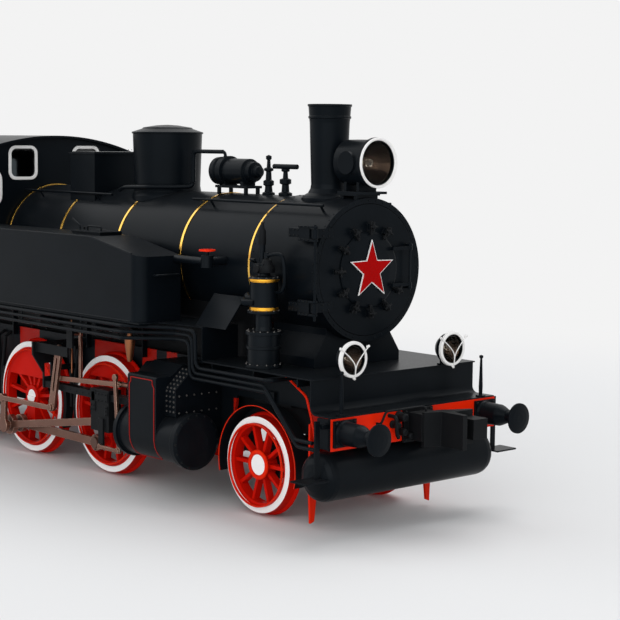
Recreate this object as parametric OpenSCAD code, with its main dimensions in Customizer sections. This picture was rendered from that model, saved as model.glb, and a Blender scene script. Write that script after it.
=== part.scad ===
// Side-tank steam locomotive, wheel arrangement 2-6-2.
// +X is forward, +Y is the left-hand side, +Z is up; the wheels stand on Z = 0.
// The origin lies on the floor under the middle driving axle.

/* [Overall] */
// Length over the buffer faces
length_over_buffers = 11100; // [10900:10:12200]
// Width over the buffer beams
beam_w = 2050; // [1960:10:2460]
// Distance from the buffer face to the beam face
buffer_len = 451; // [400:1:541]
// Height of the boiler centre line
boiler_z = 2268; // [2240:1:2330]
// Height of the running boards
board_z = 1702; // [1660:1:1720]
// Height of the front platform
platform_z = 1393; // [1385:1:1440]

/* [Wheels] */
// Tread radius of the driving wheels
driver_r = 603; // [520:1:640]
// Tread radius of the leading and trailing wheels
carrying_r = 449; // [374:1:470]
// Spacing of the driving axles
driver_pitch = 1464; // [1400:1:1500]
// Distance of the leading and trailing axles from the middle axle
carrying_x = 3862; // [3840:1:3900]
// Distance between the inner faces of the wheels
back_to_back = 1340; // [1320:1:1344]
// Width of the tyres
tyre_w = 130; // [108:1:132]
// Height of the flanges
flange_h = 28; // [24:1:34]
// Throw of the cranks
crank_r = 280; // [233:1:300]

/* [Boiler] */
// Radius of the boiler
boiler_r = 640; // [533:1:648]
// Radius of the smokebox
smokebox_r = 654; // [650:1:660]
// Position of the rear end of the boiler
boiler_back = -1500; // [-1600:10:-1400]
// Position of the joint of boiler and smokebox
boiler_front = 3550; // [3540:1:3600]
// Position of the smokebox front plate
smokebox_front_x = 4453; // [4440:1:4470]
// Radius of the round smokebox door
door_r = 350; // [292:1:360]

/* [Tanks and cab] */
// Half width over the side tanks
tank_y = 1289; // [1200:1:1289]
// Inner side of the side tanks
tank_in_y = 790; // [700:1:860]
// Height of the flat top of the side tanks
tank_top = 2481; // [2420:1:2600]
// Height of the tank top at the front end
tank_front_top = 2329; // [2250:1:2400]
// Position of the front of the side tanks
tank_front = 2679; // [2600:1:2720]
// Half width over the cab
cab_y = 1300; // [1290:1:1320]
// Position of the cab front
cab_front_x = -757; // [-780:1:-740]
// Position of the cab back
cab_back_x = -2950; // [-3100:1:-2850]
// Height of the roof crown
roof_z = 3461; // [3440:1:3600]
// Radius of the roof arch
roof_r = 3000; // [2600:10:3600]
// Height of the coal bunker
bunker_top = 2750; // [2400:1:2900]

/* [Fittings] */
// Height of the chimney top
chimney_top = 3767; // [3700:1:4200]
// Position of the chimney
chimney_x = 3911; // [3880:1:3930]
// Position of the steam dome
dome_x = 1400; // [1350:1:1420]
// Height of the dome rim
dome_z = 3502; // [3300:1:3700]
// Radius of the air tank under the front beam
air_tank_r = 220; // [183:1:225]
// Centre height of the head lamp
lamp_z = 3238; // [3220:1:3300]

/* [Hidden] */
$fn = 64;
gap = 0.3;

half_len = length_over_buffers / 2;
beam_x = half_len - buffer_len;
beam_back = beam_x - 40;
beam_z0 = 809;
beam_z1 = 1087;
driver_z = driver_r + flange_h;
carrying_z = carrying_r + flange_h;
wheel_in = back_to_back / 2;
wheel_out = wheel_in + tyre_w;
frame_in = 600;
frame_out = 630;
rod_y = 900;
main_rod_y = 1030;
cyl_y = 1050;
gudgeon_right = sqrt(pow(1822, 2) - pow(crank_r, 2));
gudgeon_left = 1822 - crank_r;
plate_x = smokebox_front_x - 12;
plate_hinge = [4499, -690];
door_hinge = [4512, 475];
roof_c = roof_z - roof_r;

// Helpers ---------------------------------------------------------------

// A box given by its limits
module box(x0, x1, y0, y1, z0, z1) {
    translate([x0, y0, z0]) cube([x1 - x0, y1 - y0, z1 - z0]);
}

// A round bar along X
module bar_x(x0, x1, y, z, r) {
    fine = r > 2000 ? 1440 : r > 500 ? 360 : $fn;
    translate([x0, y, z]) rotate([0, 90, 0]) cylinder(r = r, h = x1 - x0, $fn = fine);
}

// A round bar along Y
module bar_y(x, y0, y1, z, r) {
    translate([x, y0, z]) rotate([-90, 0, 0]) cylinder(r = r, h = y1 - y0);
}

// A round bar along Z
module bar_z(x, y, z0, z1, r) {
    translate([x, y, z0]) cylinder(r = r, h = z1 - z0);
}

// An outline in the X-Z plane, carried from y0 to y1
module plate_xz(points, y0, y1) {
    translate([0, y1, 0]) rotate([90, 0, 0]) linear_extrude(y1 - y0) polygon(points);
}

// An outline in the Y-Z plane, carried from x0 to x1
module plate_yz(points, x0, x1) {
    translate([x0, 0, 0]) rotate([90, 0, 90]) linear_extrude(x1 - x0) polygon(points);
}

// A turned shape about X, from [x, r] pairs
module turned_x(y, z, points) {
    translate([0, y, z]) rotate([0, 90, 0])
        rotate_extrude() polygon([for (p = points) [p[1], p[0]]]);
}

// A turned shape about Z, from [r, z] pairs
module turned_z(x, y, points) {
    translate([x, y, 0]) rotate_extrude() polygon(points);
}

// The same shape on both sides
module both_sides() {
    children();
    mirror([0, 1, 0]) children();
}

// A flat bar with two round eyes in the X-Z plane
module link_bar(a, b, ra, rb, w, y0, y1) {
    d = b - a;
    len = norm(d);
    ang = atan2(d[1], d[0]);
    translate([a[0], y1, a[1]]) rotate([90, 0, 0]) linear_extrude(y1 - y0) rotate([0, 0, ang]) {
        circle(ra);
        translate([len, 0]) circle(rb);
        translate([0, -w / 2]) square([len, w]);
    }
}

function unit(v) = v / norm(v);
function turn_at(p, i) = acos(max(-1, min(1, unit(p[i] - p[i - 1]) * unit(p[i + 1] - p[i]))));
function setback(p, i, bend) = (i == 0 || i == len(p) - 1) ? 0 : bend * tan(turn_at(p, i) / 2);

// A pipe through the points p with bends of a set radius
module pipe(p, r, bend) {
    n = len(p);
    for (i = [0 : n - 2]) {
        d = unit(p[i + 1] - p[i]);
        a = p[i] + d * setback(p, i, bend);
        b = p[i + 1] - d * setback(p, i + 1, bend);
        translate(a)
            rotate([0, acos(d[2]), atan2(d[1], d[0])]) cylinder(r = r, h = norm(b - a));
    }
    for (i = [1 : 1 : n - 2]) {
        d0 = unit(p[i] - p[i - 1]);
        d1 = unit(p[i + 1] - p[i]);
        q = unit(d1 - d0 * (d0 * d1));
        s = p[i] - d0 * setback(p, i, bend);
        c = s + q * bend;
        w = cross(-q, d0);
        multmatrix([
            [-q[0], d0[0], w[0], c[0]],
            [-q[1], d0[1], w[1], c[1]],
            [-q[2], d0[2], w[2], c[2]],
            [0, 0, 0, 1]
        ]) rotate_extrude(angle = turn_at(p, i)) translate([bend, 0]) circle(r);
    }
}

function bend_points(p, i, bend, n) =
    let (d0 = unit(p[i] - p[i - 1]), d1 = unit(p[i + 1] - p[i]), q = unit(d1 - d0 * (d0 * d1)),
        c = p[i] - d0 * setback(p, i, bend) + q * bend, a = turn_at(p, i))
    [for (k = [0 : n]) [c + bend * (d0 * sin(a * k / n) - q * cos(a * k / n)),
        d0 * cos(a * k / n) + q * sin(a * k / n)]];
function route(p, bend, n) = concat(
    [[p[0], unit(p[1] - p[0])]],
    [for (i = [1 : 1 : len(p) - 2]) each bend_points(p, i, bend, n)],
    [[p[len(p) - 1], unit(p[len(p) - 1] - p[len(p) - 2])]]
);
function carried(t, u, i) = i == len(t) ? [] :
    let (v = unit(u - t[i][1] * (u * t[i][1]))) concat([v], carried(t, v, i + 1));

// A pipe swept in one piece along slanting runs with smooth bends
module swept_pipe(p, r, bend, n, sides) {
    t = route(p, bend, n);
    u = carried(t, [0, 0.1, 1], 0);
    m = len(t);
    rings = [for (j = [0 : m - 1], k = [0 : sides - 1])
        t[j][0] + r * (cos(360 * k / sides) * u[j] + sin(360 * k / sides) * cross(t[j][1], u[j]))];
    polyhedron(rings, concat(
        [[for (k = [0 : sides - 1]) k]],
        [for (j = [0 : m - 2], k = [0 : sides - 1]) let (k1 = (k + 1) % sides)
            [j * sides + k, (j + 1) * sides + k, (j + 1) * sides + k1, j * sides + k1]],
        [[for (k = [sides - 1 : -1 : 0]) (m - 1) * sides + k]]
    ));
}

// Frame and ends --------------------------------------------------------

frame_outline = [
    [-beam_back + gap, 1340], [-beam_back + gap, 800], [-4450, 800], [-4370, 1040], [-3350, 1040],
    [-3260, 600], [3260, 600], [3350, 1040], [4370, 1040], [4450, 800], [beam_back - gap, 800],
    [beam_back - gap, 1075], [4800, 1075], [4800, 1340]
];
stretchers = [[-4700, 820], [-3200, 700], [-2300, 700], [700, 760], [2250, 700], [3200, 700], [4600, 820]];

module main_frame() {
    color("firebrick") {
        difference() {
            both_sides() plate_xz(frame_outline, frame_in, frame_out);
            for (x = [-driver_pitch, 0, driver_pitch])
                box(x - 130, x + 130, -700, 700, 500, driver_z + 150);
        }
        for (s = stretchers) box(s[0] - 12, s[0] + 12, -frame_in, frame_in, s[1], 1320);
    }
}

module buffer_beams() {
    color("orangered")
        for (end = [0, 180])
            rotate([0, 0, end]) box(beam_back, beam_x, -beam_w / 2, beam_w / 2, beam_z0, beam_z1);
}

module buffer() {
    box(0, 22, -128, 128, -116, 116);
    turned_x(0, 0, [
        [22, 0], [22, 112], [40, 104], [210, 98], [235, 90], [300, 62], [306, 55],
        [buffer_len - 45, 55], [buffer_len - 30, 138], [buffer_len - 14, 138],
        [buffer_len - 4, 90], [buffer_len, 40], [buffer_len, 0]
    ]);
}

module buffers() {
    color("#15181b")
        for (end = [0, 180], side = [-1, 1])
            rotate([0, 0, end]) translate([beam_x, side * 875, 954]) buffer();
}

coupler_head = [
    [170, -105], [205, -105], [262, 45], [525, 45], [525, 96], [430, 110], [330, 140], [330, 376],
    [300, 376], [170, 105]
];
coupler_jaw = [[329, 205], [400, 214], [500, 205], [505, 376], [329, 376]];

module coupler() {
    box(0, 26, -180, 180, 795, 1088);
    difference() {
        box(26, 190, -125, 125, 820, 1062);
        box(60, 170, -90, 90, 900, 985);
    }
    translate([0, 0, 770]) linear_extrude(308) polygon(coupler_head);
    translate([0, 0, 840]) linear_extrude(180) polygon(coupler_jaw);
}

module couplers() {
    color("#17191b")
        for (end = [0, 180]) rotate([0, 0, end]) translate([beam_x, 0, 0]) coupler();
}

apron = concat(
    [[3282, platform_z], [3282, platform_z - 12], [4817, platform_z - 12]],
    [for (a = [180 : 15 : 270]) [4889 + 72 * cos(a), 1159 + 72 * sin(a)]],
    [[beam_x, 1087 + gap], [beam_x, 1099]],
    [for (a = [270 : -15 : 180]) [4889 + 60 * cos(a), 1159 + 60 * sin(a)]],
    [[4829, platform_z - 12], [4853, platform_z - 12], [4853, platform_z]]
);

module front_platform() {
    color("#16191c") {
        plate_xz(apron, -1016, 1016);
        for (x = [3400, 4000, 4600], s = [-1, 1])
            box(x, x + 16, min(s * 631, s * 980), max(s * 631, s * 980), 1300, platform_z - 12);
        for (x = [3400, 4000, 4600]) box(x, x + 16, -590, 590, 1340 + gap, platform_z - 12);
    }
}

module running_boards() {
    color("#16191c") both_sides() {
        translate([0, 0, board_z - 12]) linear_extrude(12) polygon([
            [cab_front_x, 560], [3270, 560], [3270, 985], [3100, 1000], [2790, 1030],
            [2720, 1080], [2690, tank_y], [cab_front_x, tank_y]
        ]);
        box(3258, 3270, 560, 985, 1360, board_z - 12);
        box(cab_front_x, 2440, tank_y - 21, tank_y - 9, board_z - 62, board_z - 12);
        for (x = [-560, 900, 1900]) {
            box(x, x + 16, frame_out + gap, tank_y - 40, board_z - 130, board_z - 12);
            box(x, x + 16, frame_out + gap, frame_out + 60, 1250, board_z - 130);
        }
    }
}

module beam_posts() {
    color("#16191c")
        for (s = [-1, 1]) {
            turned_z(5062 - 5099 + beam_x, s * 874, [
                [0, 1099 + gap], [46, 1099 + gap], [46, 1112], [17, 1114], [19, 1190], [11, 1440],
                [9, 1448], [17, 1456], [20, 1466], [17, 1478], [0, 1484]
            ]);
        }
}

// Running gear ----------------------------------------------------------

module axle_boxes() {
    color("#1c1d1f")
        for (x = [-driver_pitch, 0, driver_pitch], s = [-1, 1]) {
            difference() {
                box(x - 129.7, x + 129.7, s > 0 ? 540 : -642, s > 0 ? 642 : -540,
                    driver_z - 130, driver_z + 149);
                bar_y(x, -700, 700, driver_z, 85.7);
            }
            plate_xz([
                [x - 400, driver_z + 220], [x - 400, driver_z + 240], [x + 400, driver_z + 240],
                [x + 400, driver_z + 220], [x + 80, driver_z + 149 + gap], [x - 80, driver_z + 149 + gap]
            ], s > 0 ? 500 : -590, s > 0 ? 590 : -500);
        }
}

module pony_trucks() {
    color("#1c1d1f")
        for (e = [-1, 1]) translate([e * carrying_x, 0, 0]) {
            difference() {
                union() {
                    box(-180, 180, -640, 640, carrying_z + 110, carrying_z + 170);
                    both_sides() box(-120, 120, 520, 642, carrying_z - 130, carrying_z + 110);
                }
                bar_y(0, -700, 700, carrying_z, 75.7);
            }
            bar_z(0, 0, carrying_z + 170, 1015, 150);
            box(-260, 260, -628, 628, 1015, 1040 - gap);
        }
}

// A thin arched plate over each carrying wheel
module wheel_guards() {
    color("orangered")
        for (e = [-1, 1], s = [-1, 1]) {
            translate([e * carrying_x, s > 0 ? 824 : -frame_out - gap, carrying_z])
                rotate([90, 0, 0]) rotate([0, 0, -14]) rotate_extrude(angle = 208)
                    translate([carrying_r + 94, 0]) square([7, 824 - frame_out - gap]);
            y = frame_out + gap;
            translate([e * carrying_x, 0, 0])
                box(-60, 60, s > 0 ? y : -y - 30, s > 0 ? y + 30 : -y, carrying_z + carrying_r + 94, 1140);
        }
}

module guard_irons() {
    color("orangered")
        for (e = [0, 180], s = [-1, 1]) rotate([0, 0, e]) {
            plate_yz([
                [s * 680, 940], [s * 765, 940], [s * 765, 300], [s * 752, 45], [s * 708, 62], [s * 680, 300]
            ], 4520, 4544);
            box(4470, 4520, min(s * (frame_out + gap), s * 700), max(s * (frame_out + gap), s * 700),
                830, 940);
        }
}

module air_tank() {
    color("#14171a") {
        translate([4900, 0, 553]) rotate([-90, 0, 0]) rotate_extrude() polygon([
            [0, -1060], [60, -1058], [120, -1048], [170, -1026], [200, -998], [214, -968], [air_tank_r, -930],
            [air_tank_r, 930], [214, 968], [200, 998], [170, 1026], [120, 1048], [60, 1058], [0, 1060]
        ]);
        for (s = [-1, 1])
            box(4870, 4930, s > 0 ? 700 : -740, s > 0 ? 740 : -700, 553 + air_tank_r - 10, 1087 - gap);
    }
}

module front_steps() {
    color("#16191c")
        for (e = [0, 180], s = [-1, 1]) rotate([0, 0, e]) {
            side = beam_w / 2 + gap;
            in_y = beam_w / 2 + 57;
            out_y = in_y + 238;
            y0 = s > 0 ? in_y : -in_y - 50;
            box(beam_x - 96, beam_x - 78, y0, y0 + 50, 570, 1070);
            box(beam_x - 100, beam_x - 40, min(s * side, s * in_y), max(s * side, s * in_y), 1000, 1040);
            box(beam_x - 180, beam_x + 21, min(s * (in_y - 20), s * out_y), max(s * (in_y - 20), s * out_y), 556, 570);
        }
}

module cab_steps() {
    color("#16191c")
        for (s = [-1, 1]) {
            for (x = [-2700, -2086])
                box(x, x + 14, s > 0 ? 1180 : -1290, s > 0 ? 1290 : -1180, 560, board_z - 12 - gap);
            for (z = [560, 940, 1320])
                box(-2686, -2086, s > 0 ? 1120 : -1290, s > 0 ? 1290 : -1120, z, z + 12);
        }
}

// Wheel with tyre, rim, spokes and boss, its outer side towards -Y
module wheel(r, spokes, hub_r, rim_w) {
    rotate([90, 0, 0]) rotate([0, 0, 90]) rotate_extrude() polygon([
        [r - rim_w, wheel_in + 14], [r - 52, wheel_in], [r + flange_h - 9, wheel_in],
        [r + flange_h, wheel_in + 9], [r + flange_h, wheel_in + 16], [r + 14, wheel_in + 29],
        [r, wheel_in + 36], [r - 3, wheel_out - 4], [r - 7, wheel_out], [r - 62, wheel_out],
        [r - 66, wheel_out - 8], [r - rim_w, wheel_out - 14]
    ]);
    bar_y(0, -wheel_out + 4, -wheel_in + 20, 0, hub_r);
    for (i = [0 : spokes - 1])
        rotate([0, 360 * (i + 0.5) / spokes, 0])
            translate([0, -wheel_in - 60, hub_r - 12])
                linear_extrude(r - rim_w - hub_r + 20)
                    scale([1, 1]) translate([-17, -34]) square([34, 68]);
}

module carrying_wheelset() {
    both_sides() wheel(carrying_r, 10, 104, 96);
    bar_y(0, -wheel_in - 20, wheel_in + 20, 0, 75);
}

// The turn of each side's crank: right side down, left side towards the rear
module driver_wheelset(weight, pin_end) {
    for (side = [[0, 180], [1, -90]]) {
        mirror([0, side[0], 0]) rotate([0, side[1], 0]) {
            wheel(driver_r, 13, 120, 104);
            plate_arc(driver_r - 100, weight);
            translate([0, -wheel_out + 4, 0]) rotate([90, 0, 0]) translate([0, 0, -84])
                linear_extrude(96) {
                    translate([0, crank_r]) circle(88);
                    translate([-80, 0]) square([160, crank_r]);
                }
            bar_y(0, -pin_end, -wheel_out, crank_r, 45);
            bar_y(0, -pin_end - 12, -pin_end, crank_r, 58);
        }
    }
    bar_y(0, -wheel_in - 20, wheel_in + 20, 0, 85);
}

// Balance weight: a slice of the disc on the side away from the crank
module plate_arc(r, depth) {
    translate([0, -wheel_in - 14, 0]) rotate([90, 0, 0]) linear_extrude(tyre_w - 28) intersection() {
        circle(r + 8);
        translate([-r - 10, -r - 10]) square([2 * r + 20, depth]);
    }
}

module wheelset_leading() {
    color("orangered") translate([carrying_x, 0, carrying_z]) carrying_wheelset();
}

module wheelset_trailing() {
    color("orangered") translate([-carrying_x, 0, carrying_z]) carrying_wheelset();
}

module wheelset_driver_1() {
    color("orangered") translate([driver_pitch, 0, driver_z]) driver_wheelset(150, rod_y + 66);
}

module wheelset_driver_2() {
    color("orangered") translate([0, 0, driver_z]) driver_wheelset(300, rod_y + 66);
}

module wheelset_driver_3() {
    color("orangered") translate([-driver_pitch, 0, driver_z]) driver_wheelset(150, rod_y + 66);
}

// Coupling rod with its middle eye at the given crank pin
module coupling_rod(x, z, y0, y1) {
    difference() {
        union() {
            for (i = [-1 : 1]) bar_y(x + i * driver_pitch, y0, y1, z, i == 0 ? 95 : 84);
            box(x - driver_pitch, x + driver_pitch, y0 + 12, y1 - 12, z - 42, z + 42);
        }
        for (i = [-1 : 1]) bar_y(x + i * driver_pitch, y0 - 1, y1 + 1, z, 46);
    }
}

module coupling_rod_right() {
    color("#7a5a4e") coupling_rod(0, driver_z - crank_r, -rod_y - 60, -rod_y);
}

module coupling_rod_left() {
    color("#7a5a4e") coupling_rod(-crank_r, driver_z, rod_y, rod_y + 60);
}

// Cylinders and motion --------------------------------------------------

module cylinders() {
    color("#15181b") both_sides() {
        difference() {
            union() {
                turned_x(cyl_y, driver_z, [
                    [2280, 0], [2280, 120], [2290, 255], [2298, 267], [2345, 267], [2345, 240],
                    [3205, 240], [3205, 267], [3262, 267], [3270, 255], [3280, 235], [3290, 120], [3290, 0]
                ]);
                plate_yz([
                    [frame_out + gap, 560], [cyl_y, 560], [cyl_y + 240, driver_z], [cyl_y + 240, 1200],
                    [cyl_y + 228, 1218], [1110, 1218], [980, 1318], [frame_out + gap, 1318]
                ], 2509, 2959);
                plate_yz([
                    [frame_out + gap, 600], [cyl_y, 700], [1180, 860], [1180, 1110], [980, 1290],
                    [frame_out + gap, 1290]
                ], 2380, 3120);
            }
            bar_x(2270, 2300, cyl_y, driver_z, 34.5);
        }
        bar_x(2300, 2400, 1090, 1040, 60);
        box(2280, 2400, 1008, 1112, 780, 1000);
    }
}

// Crosshead block, slide bar and piston rod of one side
module crosshead(g, s) {
    y0 = s > 0 ? main_rod_y - 45 : -main_rod_y - 105;
    y1 = y0 + 150;
    difference() {
        union() {
            box(g - 150, g + 160, y0, y1, driver_z - 95, driver_z + 175);
            box(g - 160, g + 160, y0, y1, driver_z + 175, driver_z + 325);
            box(g + 10, g + 90, s > 0 ? y1 : y0 - 23, s > 0 ? y1 + 23 : y0, 370, driver_z + 40);
        }
        box(g - 170, g + 75, y0 + 36, y1 - 36, driver_z - 110, driver_z + 110);
        box(g - 200, g + 200, y0 + 18, y1 - 18, driver_z + 214, driver_z + 290);
        bar_y(g, y0 - 50, y1 + 50, driver_z, 40);
    }
    bar_y(g, y0 - 4, y1 + 4, driver_z, 40);
    bar_x(g + 160, 2300 - gap, s * cyl_y, driver_z, 34);
}

module crossheads() {
    color("#202123") {
        crosshead(gudgeon_right, -1);
        crosshead(gudgeon_left, 1);
        for (s = [-1, 1])
            box(1060, 2280 - gap, s > 0 ? 1008 : -1112, s > 0 ? 1112 : -1008, driver_z + 217, driver_z + 287);
    }
}

// The connecting rod, with the outer part of its crank pin
module connecting_rod(pin, g, s) {
    y0 = s > 0 ? main_rod_y : -main_rod_y - 60;
    difference() {
        link_bar(pin, [g, driver_z], 105, 62, 74, y0, y0 + 60);
        bar_y(g, y0 - 1, y0 + 61, driver_z, 40 + gap);
    }
    bar_y(pin[0], s > 0 ? y0 - 24 : y0 + 60, s > 0 ? y0 : y0 + 84, pin[1], 45);
    bar_y(pin[0], s > 0 ? y0 + 60 : y0 - 40, s > 0 ? y0 + 100 : y0, pin[1], 45);
}

module connecting_rods() {
    color("#7a5a4e") {
        connecting_rod([0, driver_z - crank_r], gudgeon_right, -1);
        connecting_rod([-crank_r, driver_z], gudgeon_left, 1);
    }
}

// Outside valve gear; pin is the crank pin, tip the end of the return crank
module valve_gear_side(pin, tip, g) {
    y0 = main_rod_y + 100 + gap;
    link_low = [959, 668];
    link_mid = [1029, 978];
    difference() {
        link_bar(pin, tip, 78, 40, 92, y0, y0 + 34);
        bar_y(pin[0], y0 - 1, y0 + 10, pin[1], 20);
    }
    link_bar(tip, link_low, 44, 36, 50, y0 + 34, y0 + 60);
    difference() {
        link_bar(link_low, [1099, 1288], 42, 44, 100, y0, y0 + 34);
        link_bar([1000, 850], [1072, 1180], 16, 16, 32, y0 - 5, y0 + 40);
    }
    link_bar(link_mid, [2109, 1038], 34, 30, 46, y0 - 34, y0);
    link_bar([2090, 1108], [2150, 392], 34, 30, 40, y0, y0 + 28);
    link_bar([g + 50, 392], [2150, 392], 28, 26, 34, y0 + 28, y0 + 50);
    bar_x(2109, 2300 - gap, 1090, 1040, 24);
    link_bar([1389, 1000], [1389, 1470], 20, 26, 30, y0 - 64, y0 - 34 - gap);
    bar_y(1389, y0 - 64, 1180 - gap, 1470, 16);
    bar_y(1090, y0 + 34, 1180 - gap, 1275, 20);
}

module valve_gear() {
    color("#7a5a4e") {
        mirror([0, 1, 0]) valve_gear_side([0, driver_z - crank_r], [11, 654], gudgeon_right);
        valve_gear_side([-crank_r, driver_z], [23, 631], gudgeon_left);
    }
}

module motion_bracket() {
    color("#1b1d1f") both_sides() {
        difference() {
            plate_yz([
                [frame_out + gap, 1012], [985, 1012], [985, driver_z + 211], [1112, driver_z + 211],
                [1112, 1000], [1240, 1200], [1240, 1330], [frame_out + gap, 1330]
            ], 720, 745);
            box(700, 770, 720, 940, 1070, 1250);
            box(700, 770, 1020, 1100, 960, 1100);
        }
        box(745, 1060 - gap, 1020, 1100, driver_z + 219, driver_z + 285);
        box(745, 1330, 1180, 1204, 1230, 1330);
        box(1320, 1420, 1180, 1204, 1330, 1560);
        box(1320, 1420, 1180, 1230, 1560, 1570);
    }
}

// Boiler and its fittings -----------------------------------------------

module boiler_body(extra) {
    bar_x(boiler_back - extra, boiler_front - gap + extra, 0, boiler_z, boiler_r + extra);
}

module boiler() {
    color("#101316") {
        boiler_body(0);
        box(boiler_back, -250, -500, 500, 1060, boiler_z);
    }
}

module boiler_bands() {
    color("goldenrod")
        for (x = [-722, 309, 1387, 2466, 3530])
            difference() {
                bar_x(x - 15, x + 15, 0, boiler_z, boiler_r + 6);
                bar_x(x - 20, x + 20, 0, boiler_z, boiler_r + 0.2);
                box(boiler_back - 10, -250 + gap, -500 - gap, 500 + gap, 1000, boiler_z);
                bar_z(dome_x, 0, boiler_z, 3200, 372 + gap);
                box(180 - gap, 643 + gap, -400 - gap, 400 + gap, 2600, 3262);
            }
}

module ash_pan() {
    color("#1c1d1f")
        difference() {
            box(-1300, -150, -480, 480, 640, 1060 - gap);
            box(-1280, -170, -460, 460, 660, 1061);
            box(-1240, -210, -560, 560, 760, 960);
        }
}

module smokebox_body(extra) {
    bar_x(boiler_front, smokebox_front_x - gap, 0, boiler_z, smokebox_r + extra);
}

module smokebox() {
    color("#14171a")
        difference() {
            smokebox_body(0);
            bar_x(boiler_front - 1, boiler_front + 20, 0, boiler_z, boiler_r - 10);
            bar_x(boiler_front + 19, plate_x, 0, boiler_z, smokebox_r - 24);
            bar_x(plate_x - 1, smokebox_front_x, 0, boiler_z, smokebox_r - 50);
            bar_z(chimney_x, 0, boiler_z, 3200, 150);
        }
}

module saddle() {
    color("#14171a")
        difference() {
            plate_yz([
                [-530, platform_z + gap], [530, platform_z + gap], [530, 1481], [396, 1683], [396, 1800],
                [-396, 1800], [-396, 1683], [-530, 1481]
            ], 3600, 4330);
            smokebox_body(gap);
        }
}

// Hinged front plate of the smokebox with its clamps
module smokebox_front() {
    color("#14171a") {
        difference() {
            bar_x(plate_x, smokebox_front_x, 0, boiler_z, smokebox_r - 55);
            bar_x(plate_x - 1, smokebox_front_x + 1, 0, boiler_z, door_r - 30);
        }
        for (z = [boiler_z - 310, boiler_z + 350]) {
            box(smokebox_front_x, smokebox_front_x + 18, -690, -450, z - 42, z + 42);
            difference() {
                union() {
                    bar_z(plate_hinge[0], plate_hinge[1], z - 42, z + 42, 26);
                    box(smokebox_front_x, plate_hinge[0], -695, -664, z - 42, z + 42);
                }
                bar_z(plate_hinge[0], plate_hinge[1], z - 50, z + 50, 13.2);
            }
        }
        for (a = [60 : 30 : 330])
            translate([smokebox_front_x, 0, boiler_z]) rotate([a, 0, 0]) {
                box(0, 34, door_r + 14, door_r + 76, -20, 20);
                bar_x(34, 52, door_r + 44, 0, 13);
            }
        for (z = [boiler_z - 155 - 34, boiler_z + 180 + 24])
            difference() {
                union() {
                    bar_z(door_hinge[0], door_hinge[1], z, z + 22, 22);
                    box(smokebox_front_x, door_hinge[0], door_hinge[1] - 22, door_hinge[1] + 22, z, z + 22);
                }
                bar_z(door_hinge[0], door_hinge[1], z - 1, z + 23, 10.5);
            }
    }
}

// Dished round door with its two hinge arms and pin
module smokebox_door() {
    color("#101215") {
        turned_x(0, boiler_z, [
            [smokebox_front_x + gap, 0], [smokebox_front_x + gap, door_r], [smokebox_front_x + 12, door_r],
            [smokebox_front_x + 20, door_r - 16], [smokebox_front_x + 30, door_r * 0.72],
            [smokebox_front_x + 36, door_r * 0.4], [smokebox_front_x + 38, 0]
        ]);
        for (z = [boiler_z - 155, boiler_z + 180]) {
            box(smokebox_front_x + 8, smokebox_front_x + 46, 255, 285, z - 10, z + 22);
            box(smokebox_front_x + 46, smokebox_front_x + 66, 255, 470, z - 10, z + 22);
            bar_z(door_hinge[0], door_hinge[1], z - 10, z + 22, 22);
        }
        bar_z(door_hinge[0], door_hinge[1], boiler_z - 200, boiler_z + 236, 10);
    }
}

star_points = [for (i = [0 : 9]) let (r = i % 2 == 0 ? 256 : 103) [-r * sin(i * 36), r * cos(i * 36)]];

module star() {
    color("red") translate([0, 0, boiler_z])
        plate_yz(star_points, smokebox_front_x + 38 + gap, smokebox_front_x + 54);
}

// Fixed half of the front plate's hinge, with its pin
module front_hinge() {
    color("#14171a") {
        difference() {
            for (z = [boiler_z - 310, boiler_z + 350])
                box(4159, 4436, -704, -560, z - 40, z + 40);
            smokebox_body(gap);
        }
        for (z = [boiler_z - 310, boiler_z + 350])
            for (dz = [-68, 48])
                difference() {
                    union() {
                        box(4300, 4499, -716, -690, z + dz, z + dz + 20);
                        bar_z(plate_hinge[0], plate_hinge[1], z + dz, z + dz + 20, 26);
                        box(4300, 4436, -704, -690, z + min(dz, 40), z + max(dz + 20, -40));
                    }
                }
        bar_z(plate_hinge[0], plate_hinge[1], boiler_z - 420, boiler_z + 430, 12.5);
    }
}

module chimney() {
    color("#101316")
        difference() {
            turned_z(chimney_x, 0, [
                [150, 2700], [258, 2700], [258, 2905], [240, 2925], [196, 2950], [174, 2990], [168, 3030],
                [186, chimney_top - 170], [190, chimney_top - 135], [199, chimney_top - 128],
                [199, chimney_top - 112], [192, chimney_top - 106], [198, chimney_top - 24],
                [206, chimney_top - 18], [206, chimney_top], [172, chimney_top], [150, 3300]
            ]);
            bar_x(boiler_front - 500, smokebox_front_x + 500, 0, boiler_z, smokebox_r + gap);
        }
}

module steam_dome() {
    color("#14171a")
        difference() {
            turned_z(dome_x, 0, [
                [0, 2600], [372, 2600], [372, 2850], [352, 2895], [342, 2950], [360, dome_z - 14],
                [371, dome_z - 12], [371, dome_z + 4], [358, dome_z + 8], [266, dome_z + 38],
                [250, dome_z + 52], [110, dome_z + 74], [0, dome_z + 80]
            ]);
            boiler_body(gap);
        }
}

module sand_box() {
    color("#14171a")
        difference() {
            union() {
                box(180, 643, -400, 400, boiler_z + sqrt(pow(boiler_r, 2) - pow(400, 2)) - 60, 3262);
                box(168, 655, -412, 412, 3262, 3280);
                box(190, 633, -390, 390, 3280, 3292);
            }
            boiler_body(gap);
        }
}

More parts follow.
